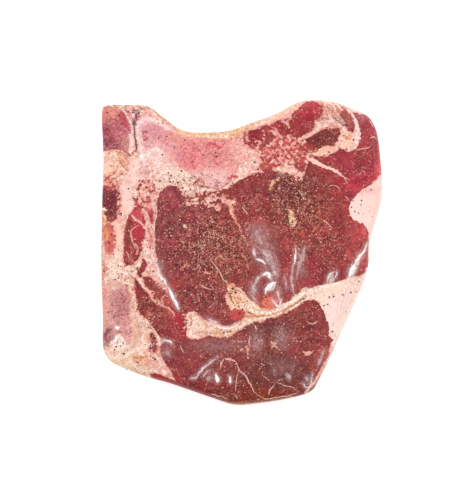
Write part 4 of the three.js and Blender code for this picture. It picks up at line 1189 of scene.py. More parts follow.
GRAIN_PLACES = grain_places()
GRAIN_RADII = np.linspace(GRAIN_LARGEST, GRAIN_SMALLEST, GRAINS)


def ridges(xy):
    """How far the film stands up: lens-shaped creases and soft bumps over the coarse pepper."""
    rise = np.zeros(len(xy))
    for width, height, path in CREASES.values():
        away, along = nearest(xy, spline(path) + CENTRING, 2.5 * width)
        swell = np.sqrt(np.clip(np.sin(np.pi * along), 0, 1))
        across = np.clip(1 - (away / (0.62 * width)) ** 2, 0, 1)
        rise = np.maximum(rise, height * swell * across**0.8)
    for place, radius in zip(GRAIN_PLACES, GRAIN_RADII):
        near = np.clip(1 - ((xy - place) ** 2).sum(1) / (2.1 * radius) ** 2, 0, 1)
        rise = np.maximum(rise, 0.75 * radius * near**1.5)
    return rise


def new_piece(name, points, faces, replaces=None, slot=None, smooth_faces=True):
    """A mesh object from millimetre points, riding on the part's one body."""
    mesh = bpy.data.meshes.new(name)
    mesh.from_pydata((points * MM).tolist(), [], faces.tolist())
    mesh.validate()
    mesh.update()
    mesh.polygons.foreach_set("use_smooth", np.full(len(mesh.polygons), smooth_faces))
    piece = bpy.data.objects.new(name, mesh)
    bpy.context.collection.objects.link(piece)
    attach(piece, "root")
    if replaces:
        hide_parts(replaces)
    return piece


def store(piece, name, values):
    """Keeps a number or a colour for every point of a piece, for its material to read."""
    kind, field = ("FLOAT_COLOR", "color") if values.ndim == 2 else ("FLOAT", "value")
    if values.ndim == 2:
        values = np.column_stack([values, np.ones(len(values))])
    made = piece.data.attributes.new(name, kind, "POINT")
    made.data.foreach_set(field, np.ascontiguousarray(values, np.float32).ravel())


class Finish:
    """A material being put together from nodes, with short ways to add the usual ones."""

    def __init__(self, name):
        self.material = bpy.data.materials.new(name)
        self.material.use_nodes = True
        self.tree = self.material.node_tree
        self.tree.nodes.clear()
        place = self.add("ShaderNodeTexCoord").outputs["Object"]
        self.place = self.vector("MULTIPLY", place, (1 / MM,) * 3)

    def add(self, kind, inputs=None, **settings):
        """A node with its settings, and each input linked to a socket or given a value."""
        made = self.tree.nodes.new(kind)
        for name, value in settings.items():
            setattr(made, name, value)
        for name, value in (inputs or {}).items():
            if isinstance(value, bpy.types.NodeSocket):
                self.tree.links.new(value, made.inputs[name])
            else:
                made.inputs[name].default_value = value
        return made

    def vector(self, operation, a, b):
        return self.add("ShaderNodeVectorMath", {0: a, 1: b}, operation=operation).outputs[0]

    def sum(self, operation, a, b=0.0, clamp=False):
        """Two numbers put together, kept between 0 and 1 if clamp says so."""
        inputs = {0: a, 1: b}
        return self.add("ShaderNodeMath", inputs, operation=operation, use_clamp=clamp).outputs[0]

    def times(self, a, b):
        return self.sum("MULTIPLY", a, b)

    def plus(self, a, b, clamp=False):
        return self.sum("ADD", a, b, clamp)

    def minus(self, a, b):
        return self.sum("SUBTRACT", a, b)

    def step(self, value, low, high, start=0.0, end=1.0):
        """start up to low and end from high on, with an S between them."""
        inputs = {"Value": value, "From Min": low, "From Max": high, "To Min": start, "To Max": end}
        return self.add("ShaderNodeMapRange", inputs, interpolation_type="SMOOTHSTEP").outputs[0]

    def read(self, name, output="Fac"):
        """What store keeps for every point: a number as Fac, a colour as Color."""
        return self.add("ShaderNodeAttribute", attribute_name=name).outputs[output]

    def noise(self, size, detail=2.0, roughness=0.5, stretch=(1, 1, 1), shift=0.0):
        """Noise about 0.5 whose features are about size millimetres wide."""
        at = self.vector("MULTIPLY", self.place, stretch)
        if shift:
            at = self.vector("ADD", at, (shift, 2 * shift, 3 * shift))
        inputs = {"Vector": at, "Scale": 1 / size, "Detail": detail, "Roughness": roughness}
        return self.add("ShaderNodeTexNoise", inputs).outputs["Fac"]

    def mix(self, share, a, b):
        """Colour a where the share is 0, colour b where it is 1."""
        return self.add("ShaderNodeMix", {0: share, 6: a, 7: b}, data_type="RGBA").outputs[2]

    def varied(self, colour, size, low, high, share=1.0, shift=0.0):
        """The colour times noise that runs from low to high, as far as share lets it."""
        swing = self.step(self.noise(size, 3, 0.65, shift=shift), 0.35, 0.65, low - 1, high - 1)
        return self.vector("MULTIPLY", colour, self.plus(self.times(swing, share), 1.0))

    def laid(self, colour, tint, share, strength=1.0):
        """A tint of 0 to 255 laid over the colour as far as share lets it."""
        return self.mix(self.times(share, strength), colour, (*light(tint), 1))

    def bump(self, height, distance, strength=1.0):
        """The normal of a relief whose height of 1 stands for distance millimetres."""
        inputs = {"Height": height, "Distance": distance * MM, "Strength": strength}
        return self.add("ShaderNodeBump", inputs).outputs["Normal"]

    def skin(self, **inputs):
        """The Principled shader, put on the surface."""
        shader = self.add("ShaderNodeBsdfPrincipled", inputs)
        surface = self.add("ShaderNodeOutputMaterial")
        self.tree.links.new(shader.outputs[0], surface.inputs["Surface"])
        return self.material


def spice_dust(f, colour, amount, scatter, lean=1.0):
    """Ground spice on a colour: crumbs where noise passes a level that falls as the amount rises.

    Each kind is its size and shift in millimetres, level, tint, strength and share; the pale kinds
    and the winding threads show on lean only, and scatter adds to the amount of the dark ones.
    """
    dark = f.plus(amount, scatter, clamp=True)
    kinds = (
        (3.2, 17, 0.47, (104, 52, 42), 0.55, lean, amount),
        (1.6, 11, 0.60, (212, 142, 118), 0.7, lean, amount),
        (1.4, 23, 0.56, (82, 24, 24), 0.8, 1.0, dark),
        (1.1, 37, 0.595, (252, 208, 186), 0.95, lean, amount),
        (1.0, 53, 0.60, (52, 14, 14), 0.85, 1.0, dark),
    )
    for size, shift, level, tint, strength, share, much in kinds:
        lowest = f.minus(level + 0.15, f.times(much, 0.15))
        highest = f.plus(lowest, 0.04)
        share = f.times(f.step(f.noise(size, 3, 0.6, shift=shift), lowest, highest), share)
        colour = f.laid(colour, tint, f.times(share, f.step(much, 0.0, 0.25)), strength)
    threads = f.times(line_share(f, 2.8, 0.035, shift=61), f.step(f.noise(6), 0.46, 0.56))
    threads = f.times(f.times(threads, lean), amount)
    return f.laid(colour, (228, 160, 138), threads, 0.8)


def line_share(f, size, width, shift=0.0):
    """Thin winding lines: where noise of that size passes through its middle value."""
    off = f.sum("ABSOLUTE", f.minus(f.noise(size, 3, 0.6, shift=shift), 0.5))
    return f.step(off, 0.3 * width, width, 1, 0)


def fat_edge(f):
    """The fat field in millimetres, its edge broken by fine noise and, where mottled, by blobs."""
    field = f.read("fat")
    for size, amount in ((1.8, 2.0), (0.8, 0.8)):
        sway = f.times(f.minus(f.noise(size, 2), 0.5), amount)
        field = f.plus(field, sway)
    blobs = f.minus(f.noise(2.3, 3, 0.58), 0.5)
    blobs = f.times(f.times(blobs, 6.0), f.read("mottle"))
    return f.plus(field, blobs)


def with_marks(f, colour):
    """The marks laid over a colour: whole inside their field's edge, which noise frays."""
    fray = f.times(f.minus(f.noise(1.1, 3, 0.6, shift=71), 0.5), 3.2)
    share = f.step(f.plus(f.read("mark"), fray), -0.4, 0.16)
    mark = f.varied(f.read("mark_tint", "Color"), 1.5, 0.68, 1.26, shift=83)
    return f.mix(f.times(share, 0.88), colour, mark)


def meat_finish():
    """Lean and fat told apart by the fat field, with fibres, marbling, marks and spice."""
    f = Finish("wet_marbled_meat")
    field = fat_edge(f)
    fat_share = f.step(field, -0.14, 0.14)
    busy = f.read("busy")

    lean = f.read("lean_tint", "Color")
    rough = f.plus(f.read("spice"), 0.25, clamp=True)
    lean = f.vector("MULTIPLY", lean, (0.95, 0.8, 0.86))
    lean = f.laid(lean, (112, 30, 52), f.step(f.noise(4.4, 3, 0.6, shift=67), 0.5, 0.62), 0.4)
    lean = f.laid(lean, (138, 62, 44), f.step(f.noise(5.2, 3, 0.6, shift=73), 0.5, 0.62), 0.35)
    for size, low, high, shift in ((1.2, 0.56, 1.5, 0), (3, 0.72, 1.26, 5)):
        lean = f.varied(lean, size, low, high, rough, shift)
    lean = f.varied(lean, 9, 0.84, 1.16, shift=9)
    pink = f.step(f.noise(1.1, 2, 0.6, shift=13), 0.61, 0.69)
    lean = f.laid(lean, (232, 160, 150), pink, 0.6)
    pits = f.step(f.noise(1.4, 3, 0.7, shift=17), 0.57, 0.66)
    lean = f.laid(lean, (92, 26, 30), f.times(pits, rough), 0.6)
    wisps = f.times(line_share(f, 5, 0.014), f.step(f.noise(8), 0.48, 0.6))
    lean = f.laid(lean, (230, 158, 146), wisps, 0.55)

    fat = f.read("fat_tint", "Color")
    fat = f.varied(fat, 2.2, 0.84, 1.1, busy, shift=19)
    fat = f.varied(fat, 5, 0.84, 1.08, busy, shift=29)
    layers = (
        (f.step(f.noise(3.4, 3, 0.5, shift=31), 0.54, 0.67), (226, 126, 116), 0.45),
        (f.step(f.noise(2.6, 3, 0.5, shift=37), 0.52, 0.64), (255, 234, 220), 0.75),
        (f.step(f.noise(1.7, 3, 0.6, shift=41), 0.6, 0.65), (176, 66, 64), 0.65),
        (line_share(f, 3.6, 0.024, shift=43), (202, 108, 88), 0.6),
        (line_share(f, 4.8, 0.022, shift=47), (255, 238, 226), 0.7),
    )
    for share, tint, strength in layers:
        fat = f.laid(fat, tint, f.times(share, busy), strength)
    border = f.step(field, 0.1, 1.3, 1, 0)
    fat = f.laid(fat, (222, 116, 104), f.times(border, busy), 0.5)

    colour = with_marks(f, f.mix(fat_share, lean, fat))
    scatter = f.times(busy, f.step(fat_share, 0.0, 1.0, 0.32, 0.12))
    colour = spice_dust(f, colour, f.read("spice"), scatter, f.minus(1.0, fat_share))
    fibre = f.noise(0.85, 3, 0.6, stretch=(1, 0.4, 1))
    height = f.plus(f.times(fibre, 0.6), f.times(fat_share, 0.5))
    return f.skin(**{
        "Base Color": colour,
        "Roughness": f.step(f.noise(7, 3, 0.55), 0.3, 0.7, 0.34, 0.48),
        "Specular IOR Level": 0.15,
        "Coat Weight": 0.12,
        "Coat Roughness": 0.12,
        "Normal": f.bump(height, 0.3, 0.8),
    })


def bone_finish(name, blood):
    """Spongy sawn bone: its tint, red pores, pale struts, thin red lines and a hard pale rim."""
    f = Finish(f"sawn_{name}_bone")
    colour = f.read("tint", "Color")
    for size, low, high, shift in ((0.9, 0.8, 1.14, 0), (2.2, 0.84, 1.1, 5), (5, 0.88, 1.08, 9)):
        colour = f.varied(colour, size, low, high, shift=shift)
    bleeding = f.times(f.read("blood"), blood)
    layers = (
        (f.step(f.noise(2.0, 4, 0.68, shift=3), 0.5, 0.62), (196, 62, 80), 0.75),
        (f.step(f.noise(0.9, 3, 0.7, shift=7), 0.56, 0.66), (168, 44, 60), 0.85),
        (line_share(f, 3, 0.02, shift=11), (186, 60, 76), 0.8),
    )
    for share, tint, strength in layers:
        colour = f.laid(colour, tint, f.times(share, bleeding), strength)
    struts = f.step(f.noise(1.2, 3, 0.68, shift=13), 0.54, 0.64)
    colour = f.laid(colour, (252, 208, 200), struts, 0.42)
    colour = f.laid(colour, (244, 178, 166), line_share(f, 3.6, 0.016, shift=17), 0.4)
    sway = f.times(f.noise(1.6), 1.2)
    rim = f.step(f.plus(f.read("rim"), sway), 1.0, 2.3, 1, 0)
    rim = f.times(rim, f.read("rim_share"))
    colour = f.mix(rim, colour, as_light(bpy.context.scene.steak_colours.bone_rim))
    colour = spice_dust(f, with_marks(f, colour), f.read("spice"), 0.07)
    return f.skin(**{
        "Base Color": colour,
        "Roughness": f.step(f.noise(3), 0.3, 0.7, 0.36, 0.5),
        "Specular IOR Level": 0.25,
        "Coat Weight": 0.18,
        "Coat Roughness": 0.14,
        "Normal": f.bump(f.noise(0.8, 3, 0.6), 0.25, 0.7),
    })


def vein_finish():
    """Sinew: pale pink with a fine sway of brightness."""
    f = Finish("pale_sinew")
    colour = f.varied(as_vector(f, bpy.context.scene.steak_colours.vein), 1.5, 0.72, 1.06)
    return f.skin(**{
        "Base Color": colour,
        "Roughness": f.step(f.noise(1.2), 0.3, 0.7, 0.32, 0.46),
        "Specular IOR Level": 0.35,
        "Normal": f.bump(f.noise(0.5, 2), 0.08, 0.5),
    })


def as_vector(f, colour):
    """A colour property as a node's output, for what is worked out from it."""
    return f.mix(f.step(f.noise(2), 0.4, 0.6), as_light(colour), as_light(np.array(colour) * 0.97))


def grain_finish(name, colour, far_colour):
    """Cracked grains: each one's own shade between two colours, rough and matt."""
    f = Finish(name)
    own = f.mix(f.read("shade"), as_light(colour), (*light(far_colour), 1))
    own = f.varied(own, 0.3, 0.75, 1.2)
    return f.skin(**{
        "Base Color": own,
        "Roughness": f.step(f.noise(0.4), 0.3, 0.7, 0.5, 0.7),
        "Specular IOR Level": 0.3,
        "Normal": f.bump(f.noise(0.25, 2), 0.06, 0.6),
    })


def film_finish():
    """Clear film: nearly unseen where it lies flat, white with painted highlights where it creases,
    and pale with haze and painted sheen.
    """
    f = Finish("clear_skin_film")
    # Noise breaks up the painted sheen and the painted highlights so that their edges fray.
    wavering = f.step(f.noise(2.4, 3, 0.6), 0.36, 0.62, 0.55, 1.3)
    sheen_speckle = f.step(f.noise(0.9, 3, 0.65, shift=33), 0.36, 0.64, 0.5, 1.6)
    veil_and_sheen = f.times(f.times(f.read("veil_and_sheen"), wavering), sheen_speckle)
    glare_breaks = f.step(f.noise(1.3, 3, 0.6, shift=21), 0.36, 0.56, 0.5, 1.0)
    painted_glare = f.times(f.step(f.read("painted_glare"), 0.04, 0.95), glare_breaks)
    # The painted sheen is tinted pale pink, the painted highlights white.
    white = as_light(bpy.context.scene.steak_colours.film)
    tint = f.mix(painted_glare, (*light((238, 204, 200)), 1), white)
    alpha = f.plus(f.plus(veil_and_sheen, painted_glare), 0.004, clamp=True)
    return f.skin(**{
        "Base Color": tint,
        "Roughness": f.step(f.noise(3), 0.3, 0.7, 0.08, 0.2),
        "Specular IOR Level": 0.5,
        # Painted light: a faint glow that makes the painted highlights whiter.
        "Emission Color": (1, 1, 1, 1),
        "Emission Strength": 0.12,
        "Alpha": alpha,
        "Normal": f.bump(f.noise(2.5, 2), 0.12, 0.5),
    })


def floor_finish():
    """A plain pale floor, faintly uneven, that gives off a little light like a light table."""
    f = Finish("pale_floor")
    plain = as_vector(f, bpy.context.scene.steak_colours.floor)
    colour = f.vector("MULTIPLY", plain, f.step(f.noise(60), 0.3, 0.7, 0.985, 1.0))
    return f.skin(**{
        "Base Color": colour,
        "Roughness": f.step(f.noise(8), 0.3, 0.7, 0.6, 0.7),
        "Emission Color": (1, 1, 1, 1),
        "Emission Strength": 0.55,
    })


def fat_field(xy):
    """Millimetres into the fat: outside every muscle, or inside a band or patch of fat."""
    at = swayed(xy)
    lean = np.full(len(xy), -FIELD_REACH)
    for path in MUSCLES.values():
        lean = np.maximum(lean, patch_field(at, spline(from_photo(path), closed=True, steps=5)))
    fat = -lean
    for path, *half_widths in FAT_BANDS.values():
        fat = np.maximum(fat, band_field(at, spline(from_photo(path)), half_widths))
    for path in FAT_PATCHES.values():
        fat = np.maximum(fat, patch_field(at, spline(from_photo(path), closed=True, steps=5)))
    for q, (strength, lean_to) in spots(at, MOTTLED):
        share = strength * zone_share(q)
        fat += share * (lean_to + 0.25 * np.clip(fat, -1, 1) - fat)
    return fat


def zone_share(q):
    """A zone's share: whole in its middle, easing off past its edge."""
    return 1 - smooth(np.sqrt(q), 0.7, 1.35)


def share_of(xy, zones):
    """The greatest share that any zone gives each point, easing off past the zone's edge."""
    most = np.zeros(len(xy))
    for q, (amount, *_) in spots(xy, zones):
        most = np.maximum(most, amount * zone_share(q))
    return most


def spice_share(xy):
    """How thickly the spice lies: the zones' shares, eased off widely, over a thin scatter."""
    most = np.zeros(len(xy))
    for q, (amount,) in spots(xy, SPICED):
        most = np.maximum(most, amount * (1 - smooth(np.sqrt(q), 0.25, 1.5)))
    return np.clip(most + 0.03, 0, 1)


def marks(xy):
    """Millimetres into the nearest mark and that mark's tint, later marks over earlier ones."""
    at = xy + 0.22 * drift(xy, 1.9, 61)
    field, tint = np.full(len(xy), -MARK_REACH), np.zeros((len(xy), 3))
    for path, *half_widths, colour in MARKS.values():
        closed = not half_widths
        run = spline(from_photo(path), closed=closed, steps=5)
        if closed:
            own = patch_field(at, run, MARK_REACH)
        else:
            own = band_field(at, run, half_widths, MARK_REACH)
        over = (own > -0.1) | (own > field)
        tint[over] = light(colour)
        field = np.maximum(field, own)
    return field, tint


def seen_at(points):
    """Where on the face each point takes its looks from.

    It is the place above it, and the deeper the point lies the further in and to the side, so
    that muscles and fat run through the slice at a slant.
    """
    xy = points[:, :2]
    depth = np.clip(THICKNESS - SLANT_FROM - points[:, 2], 0, None)[:, None]
    return xy * (1 - SLANT * depth) + SLANT_SWAY * depth * drift(xy, 26, 31)


def dressed(piece, xy):
    """Keeps the marks and the spice for every point of a piece."""
    field, tint = marks(xy)
    store(piece, "mark", field)
    store(piece, "mark_tint", tint)
    store(piece, "spice", spice_share(xy))


def fat_tints(xy):
    """The fat's tint, with the coloured borders along the outline laid over it."""
    tint = blended_tint(swayed(xy), FAT_TINTS)
    for path, reach, colour in RIMS.values():
        away, along = nearest(swayed(xy), spline(from_photo(path)), 2 * reach)
        ends = smooth(along, 0.0, 0.06) * (1 - smooth(along, 0.94, 1.0))
        share = (1 - smooth(away, 0.45 * reach, 1.3 * reach)) * ends
        tint += share[:, None] * (light(colour) - tint)
    return tint


def rim_is_fat(xy, fat):
    """Coloured borders lie over the muscles too, so the fat field is raised under them."""
    for path, reach, _ in RIMS.values():
        away, _ = nearest(swayed(xy), spline(from_photo(path)), 2 * reach)
        fat = np.maximum(fat, 0.8 * reach - away)
    return fat


class STEAK_OT_meat(Operator):
    """Build the meat and fat: one closed slice, hollowed where the bones lie"""

    bl_idname = "steak.build_meat"
    bl_label = "Meat and fat"

    def execute(self, context):
        sizes = context.scene.steak_sizes
        lift = sizes.film_gap / MM

        def top(xy):
            """The cut face, a little below the film, hollowed in the bones, with fine relief."""
            relief = 0.07 * value_noise(xy, 1.6, 11) + 0.05 * value_noise(xy, 3.7, 12)
            return top_height(xy) - lift + relief

        points, faces = slab(
            OUTLINE_RUN, np.zeros(2), inset=0.4, step=sizes.face_step / MM,
            under_step=sizes.under_step / MM, floor=0.3, top=top,
        )
        xy = points[:, :2]
        hollow = sizes.recess / MM * smooth(bone_inside(xy), 0.15, 1.3)
        cleft, _ = nearest(xy, spline(CLEFT) + CENTRING, 3)
        hollow = np.maximum(hollow, 1.5 * np.exp(-((cleft / 0.5) ** 2)))
        is_top = points[:, 2] > THICKNESS / 2
        points[:, 2] += np.where(is_top, -hollow, hollow * (points[:, 2] < 2))
        xy = seen_at(points)
        # Painted shade: how far down the rounded edge and the sides each point lies, darkening the
        # tints below.
        edge = smooth(THICKNESS - points[:, 2:], 0.8, 6)
        piece = new_piece("meat", points, faces, "steak_meat", "meat")
        store(piece, "fat", rim_is_fat(xy, fat_field(xy)))
        store(piece, "mottle", share_of(xy, MOTTLED))
        lean = blended_tint(swayed(xy), LEAN_TINTS)
        store(piece, "lean_tint", lean * (1 - edge * (1 - LEAN_SHADED_AT_EDGE)))
        store(piece, "fat_tint", fat_tints(xy) * (1 - edge * (1 - FAT_SHADED_AT_EDGE)))
        store(piece, "busy", 1 - share_of(xy, CALM))
        dressed(piece, xy)
        piece.data.materials.append(meat_finish())
        return {"FINISHED"}


class STEAK_OT_bones(Operator):
    """Build the three sawn bones, each a closed plug that runs through the slice"""

    bl_idname = "steak.build_bones"
    bl_label = "Sawn bones"

    def execute(self, context):
        sizes = context.scene.steak_sizes
        for name, (node, middle, blood) in SAWN_BONES.items():
            run = BONE_RUNS[name]

            def top(xy, run=run):
                """The cut face, rounded a little towards the bone's own edge."""
                away, _ = nearest(xy, run, 1)
                relief = 0.06 * value_noise(xy, 1.1, 21)
                return top_height(xy) - 0.2 - 0.25 * (1 - away) ** 2 + relief

            points, faces = slab(
                run[::-1], np.array(middle, float), inset=0.02, step=sizes.face_step / MM,
                under_step=sizes.under_step / MM, floor=0.1, top=top, rounds_under=False,
            )
            side = sawn_side(points[:, 1]) + SIDE_GAP + under_inset(points[:, 2])
            points[:, 0] = np.maximum(points[:, 0], side)
            xy = points[:, :2]
            piece = new_piece(f"{name}_cut", points, faces, node, "bone")
            store(piece, "tint", blended_tint(swayed(xy), BONE_TINTS[name]))
            away, _ = nearest(xy, run, 6)
            store(piece, "rim", away)
            store(piece, "rim_share", share_of(xy, RIM_SHARES[name]))
            store(piece, "blood", share_of(xy, BLOOD[name]))
            dressed(piece, xy)
            piece.data.materials.append(bone_finish(name, blood))
        return {"FINISHED"}


class STEAK_OT_veins(Operator):
    """Build the thin sinews and marbling: flat lens-shaped ribbons that lie on the face"""

    bl_idname = "steak.build_veins"
    bl_label = "Sinews"

    def execute(self, context):
        lift = context.scene.steak_sizes.film_gap / MM
        sideways, upwards = SINEW_SECTION.T
        all_points, all_faces, start = [], [], 0
        for path, first, last in VEINS.values():
            line = spline(from_photo(path), steps=10)
            count = max(8, int(np.hypot(*np.diff(line, axis=0).T).sum() / SINEW_STEP))
            line = swayed(resample(line, count))
            run = np.gradient(line, axis=0)
            side = np.stack([-run[:, 1], run[:, 0]], 1) / np.hypot(*run.T)[:, None]
            t = np.linspace(0, 1, count)
            taper = np.sqrt(np.sin(np.pi * np.clip(t, 0.015, 0.985)))
            half = (first + (last - first) * t) * taper * (1 + 0.25 * value_noise(line, 1.3, 31))
            across = line[:, None] + side[:, None] * (half[:, None] * sideways)[..., None]
            base = top_height(line) - lift + 0.03
            z = base[:, None] + np.minimum(half, 0.3)[:, None] * 0.6 * upwards
            rings = np.dstack([across, z])
            tips = [np.array([[*line[k], base[k]]]) for k in (0, -1)]
            points, faces = ring_solid(list(rings), tips[0], tips[1])
            all_points.append(points)
            all_faces.append(faces + start)
            start += len(points)
        piece = new_piece("sinews", np.vstack(all_points), np.vstack(all_faces), slot="meat")
        turn_outwards(piece)
        piece.data.materials.append(vein_finish())
        return {"FINISHED"}


def turn_outwards(piece):
    """Makes every closed shell of a piece face outwards."""
    mesh = bmesh.new()
    mesh.from_mesh(piece.data)
    bmesh.ops.recalc_face_normals(mesh, faces=mesh.faces)
    mesh.to_mesh(piece.data)
    mesh.free()


def icosahedron():
    """The twelve corners and twenty faces of a unit icosahedron."""
    g = (1 + 5**0.5) / 2
    corners = [(-1, g, 0), (1, g, 0), (-1, -g, 0), (1, -g, 0), (0, -1, g), (0, 1, g),
               (0, -1, -g), (0, 1, -g), (g, 0, -1), (g, 0, 1), (-g, 0, -1), (-g, 0, 1)]
    faces = [(0, 11, 5), (0, 5, 1), (0, 1, 7), (0, 7, 10), (0, 10, 11), (1, 5, 9), (5, 11, 4),
             (11, 10, 2), (10, 7, 6), (7, 1, 8), (3, 9, 4), (3, 4, 2), (3, 2, 6), (3, 6, 8),
             (3, 8, 9), (4, 9, 5), (2, 4, 11), (6, 2, 10), (8, 6, 7), (9, 8, 1)]
    corners = np.array(corners, float)
    return corners / np.linalg.norm(corners[0]), np.array(faces)


def turned(a, b, angles):
    """Two coordinates of every grain's corners, turned by the grain's own angle."""
    across, along = np.cos(angles)[:, None], np.sin(angles)[:, None]
    return a * across - b * along, a * along + b * across


def scattered(places, heights, radii, rng, squash=(0.5, 0.9)):
    """Cracked grains at the places: icosahedra with every corner pushed, squashed and turned."""
    corners, faces = icosahedron()
    n = len(places)
    shape = corners[None] * rng.uniform(0.72, 1.12, (n, 12, 1))
    deep, high = rng.uniform(0.6, 1, n), rng.uniform(*squash, n)
    shape = shape * np.stack([np.ones(n), deep, high], 1)[:, None]
    turn, tip = rng.uniform(0, 2 * np.pi, n), rng.uniform(-0.5, 0.5, n)
    x, y, z = np.moveaxis(shape, 2, 0)
    y, z = turned(y, z, tip)
    x, y = turned(x, y, turn)
    points = np.dstack([x, y, z]) * radii[:, None, None]
    points += np.column_stack([places, heights])[:, None]
    all_faces = faces[None] + 12 * np.arange(n)[:, None, None]
    return points.reshape(-1, 3), all_faces.reshape(-1, 3)


def spice_places(count, rng, evenness):
    """Chance places on the face, kept more often where the spice lies thickly and in clumps."""
    xy = rng.uniform(*FINE_AREA, (count * THROWS, 2))
    kept = patch_field(xy, OUTLINE_RUN) > EDGE_CLEARANCE
    clumps = smooth(value_noise(xy, 3.1, 71) + 0.6 * value_noise(xy, 7.3, 72), -0.7, 0.6)
    chance = (spice_share(xy) * (1 - evenness) + evenness) * (0.25 + 0.75 * clumps)
    kept &= rng.uniform(0, 1, len(xy)) < chance
    return xy[kept][:count]


class STEAK_OT_seasoning(Operator):
    """Scatter the coarse pepper, the fine pepper and the pale granules over the face"""

    bl_idname = "steak.build_seasoning"
    bl_label = "Seasoning"

    def execute(self, context):
        sizes, colours = context.scene.steak_sizes, context.scene.steak_colours
        lift, radius = sizes.film_gap / MM, sizes.grain_radius / MM
        rng = np.random.default_rng(5)
        coarse = scattered(GRAIN_PLACES, top_height(GRAIN_PLACES) - lift, 0.72 * GRAIN_RADII, rng)
        piece = new_piece("coarse_pepper", *coarse, slot="meat", smooth_faces=False)
        store(piece, "shade", np.repeat(rng.uniform(0, 1, GRAINS), 12))
        piece.data.materials.append(grain_finish("coarse_pepper", colours.pepper, (150, 66, 46)))
        kinds = (
            ("fine_pepper", sizes.dark_grains, 0.02, colours.pepper, (138, 48, 44), 0.85),
            ("pale_granules", sizes.pale_grains, 0.05, colours.granule, (212, 128, 104), 0.9),
        )
        for name, count, evenness, colour, far_colour, scale in kinds:
            places = spice_places(count, rng, evenness)
            radii = scale * radius * (0.5 + rng.uniform(0, 1, len(places)) ** 3)
            if name == "fine_pepper":
                single = from_photo(PEPPERS)
                places = np.vstack([single, places])
                radii = np.concatenate([rng.uniform(0.55, 0.85, len(single)), radii])
            heights = top_height(places) - lift + 0.1
            grains = scattered(places, heights, radii, rng, squash=(0.4, 0.7))
            piece = new_piece(name, *grains, slot="meat", smooth_faces=False)
            store(piece, "shade", np.repeat(rng.uniform(0, 1, len(places)) ** 1.5, 12))
            piece.data.materials.append(grain_finish(name, colour, far_colour))
        return {"FINISHED"}


class STEAK_OT_film(Operator):
    """Build the skin-tight clear film: a closed surface just outside the meat, with its creases"""

    bl_idname = "steak.build_film"
    bl_label = "Clear film"

    def execute(self, context):
        sizes = context.scene.steak_sizes

        def top(xy):
            """The cut face with the film's creases, bumps over pepper and a fine waviness."""
            return top_height(xy) - 0.06 + ridges(xy) + 0.03 * value_noise(xy, 5, 41)

        points, faces = slab(
            OUTLINE_RUN, np.zeros(2), inset=0.05, step=sizes.film_step / MM,
            under_step=2 * sizes.under_step / MM, floor=0.02, top=top,
        )
        xy = points[:, :2]
        # Painted highlights along their paths, each with a soft halo of painted sheen, and painted
        # sheen and haze in their zones, on the top only.
        painted_glare, veil_and_sheen = np.zeros(len(xy)), np.zeros(len(xy))
        at = xy + 0.3 * drift(xy, 2.1, 51)
        for path, first, last, strength in PAINTED_GLARES.values():
            away, along = nearest(at, spline(from_photo(path)), 8)
            taper = np.sin(np.pi * np.clip(along, 0.02, 0.98)) ** 0.6
            half = (first + (last - first) * along) * taper * (1 + 0.45 * value_noise(xy, 2.4, 53))
            inner = half - away
            painted_glare = np.maximum(painted_glare, strength * smooth(inner, -0.7, 0.6))
            veil_and_sheen = np.maximum(veil_and_sheen, 0.24 * strength * smooth(inner, -2.2 - half, 0))
        for q, (amount,) in spots(at, HAZE_AND_SHEEN):
            veil_and_sheen = np.maximum(veil_and_sheen, amount * np.exp(-q))
        on_top = smooth(points[:, 2], 8, 12)
        piece = new_piece("film", points, faces, slot="meat")
        store(piece, "painted_glare", painted_glare * on_top)
        store(piece, "veil_and_sheen", veil_and_sheen * on_top)
        piece.data.materials.append(film_finish())
        return {"FINISHED"}


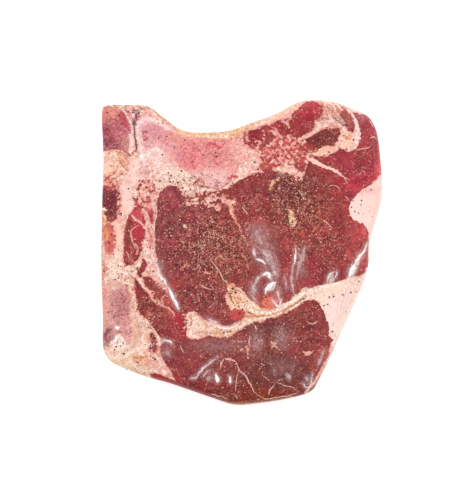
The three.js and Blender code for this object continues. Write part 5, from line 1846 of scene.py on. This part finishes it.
class STEAK_OT_stage(Operator):
    """Set up the pale floor, the soft studio light and the camera straight above"""

    bl_idname = "steak.build_stage"
    bl_label = "Stage"

    def execute(self, context):
        scene = context.scene
        corners = FLOOR_REACH * np.array([(-1, -1, 0), (1, -1, 0), (1, 1, 0), (-1, 1, 0)])
        mesh = bpy.data.meshes.new("floor")
        mesh.from_pydata(corners.tolist(), [], [(0, 1, 2, 3)])
        floor = bpy.data.objects.new("floor", mesh)
        scene.collection.objects.link(floor)
        mesh.materials.append(floor_finish())

        world = bpy.data.worlds.new("studio")
        world.use_nodes = True
        sky = world.node_tree.nodes["Background"].inputs
        sky["Color"].default_value, sky["Strength"].default_value = (1, 1, 1, 1), 0.5
        scene.world = world
        for name, (place, size, power) in LAMPS.items():
            lamp = bpy.data.lights.new(f"soft_{name}", "AREA")
            lamp.shape, lamp.size, lamp.energy = "DISK", size, power
            made = bpy.data.objects.new(f"soft_{name}", lamp)
            made.location = place
            made.rotation_euler = (-Vector(place)).to_track_quat("-Z", "Y").to_euler()
            scene.collection.objects.link(made)

        camera = bpy.data.cameras.new("camera")
        camera.sensor_width = 36
        camera.lens = camera.sensor_width * CAMERA_DISTANCE / (PHOTO_HEIGHT * PIXEL * MM)
        camera.clip_start, camera.clip_end = 0.1, 20
        made = bpy.data.objects.new("camera", camera)
        x, y = from_photo(PHOTO_CENTRE)[0] * MM
        made.location = (x, y, CAMERA_DISTANCE + CAMERA_BASE)
        scene.collection.objects.link(made)
        scene.camera = made
        scene.view_settings.view_transform = "Standard"
        scene.render.film_transparent = False
        return {"FINISHED"}


class STEAK_PT_panel(Panel):
    """Lists the steps that build the steak"""

    bl_idname = "STEAK_PT_panel"
    bl_label = "Rump steak"
    bl_space_type = "VIEW_3D"
    bl_region_type = "UI"
    bl_category = "Steak"

    def draw(self, context):
        for step in STEPS:
            self.layout.operator(step.bl_idname)
        for group in (context.scene.steak_sizes, context.scene.steak_colours):
            box = self.layout.box()
            for name in group.bl_rna.properties.keys():
                if name not in ("rna_type", "name"):
                    box.prop(group, name)


STEPS = (
    STEAK_OT_stage, STEAK_OT_meat, STEAK_OT_bones, STEAK_OT_veins, STEAK_OT_seasoning,
    STEAK_OT_film,
)
CLASSES = (SteakSizes, SteakColours, *STEPS, STEAK_PT_panel)


def register():
    for cls in CLASSES:
        bpy.utils.register_class(cls)
    bpy.types.Scene.steak_sizes = PointerProperty(type=SteakSizes)
    bpy.types.Scene.steak_colours = PointerProperty(type=SteakColours)


def unregister():
    del bpy.types.Scene.steak_colours
    del bpy.types.Scene.steak_sizes
    for cls in reversed(CLASSES):
        bpy.utils.unregister_class(cls)


def main():
    register()
    for step in STEPS:
        group, name = step.bl_idname.split(".")
        getattr(getattr(bpy.ops, group), name)()


if __name__ == "__main__":
    main()
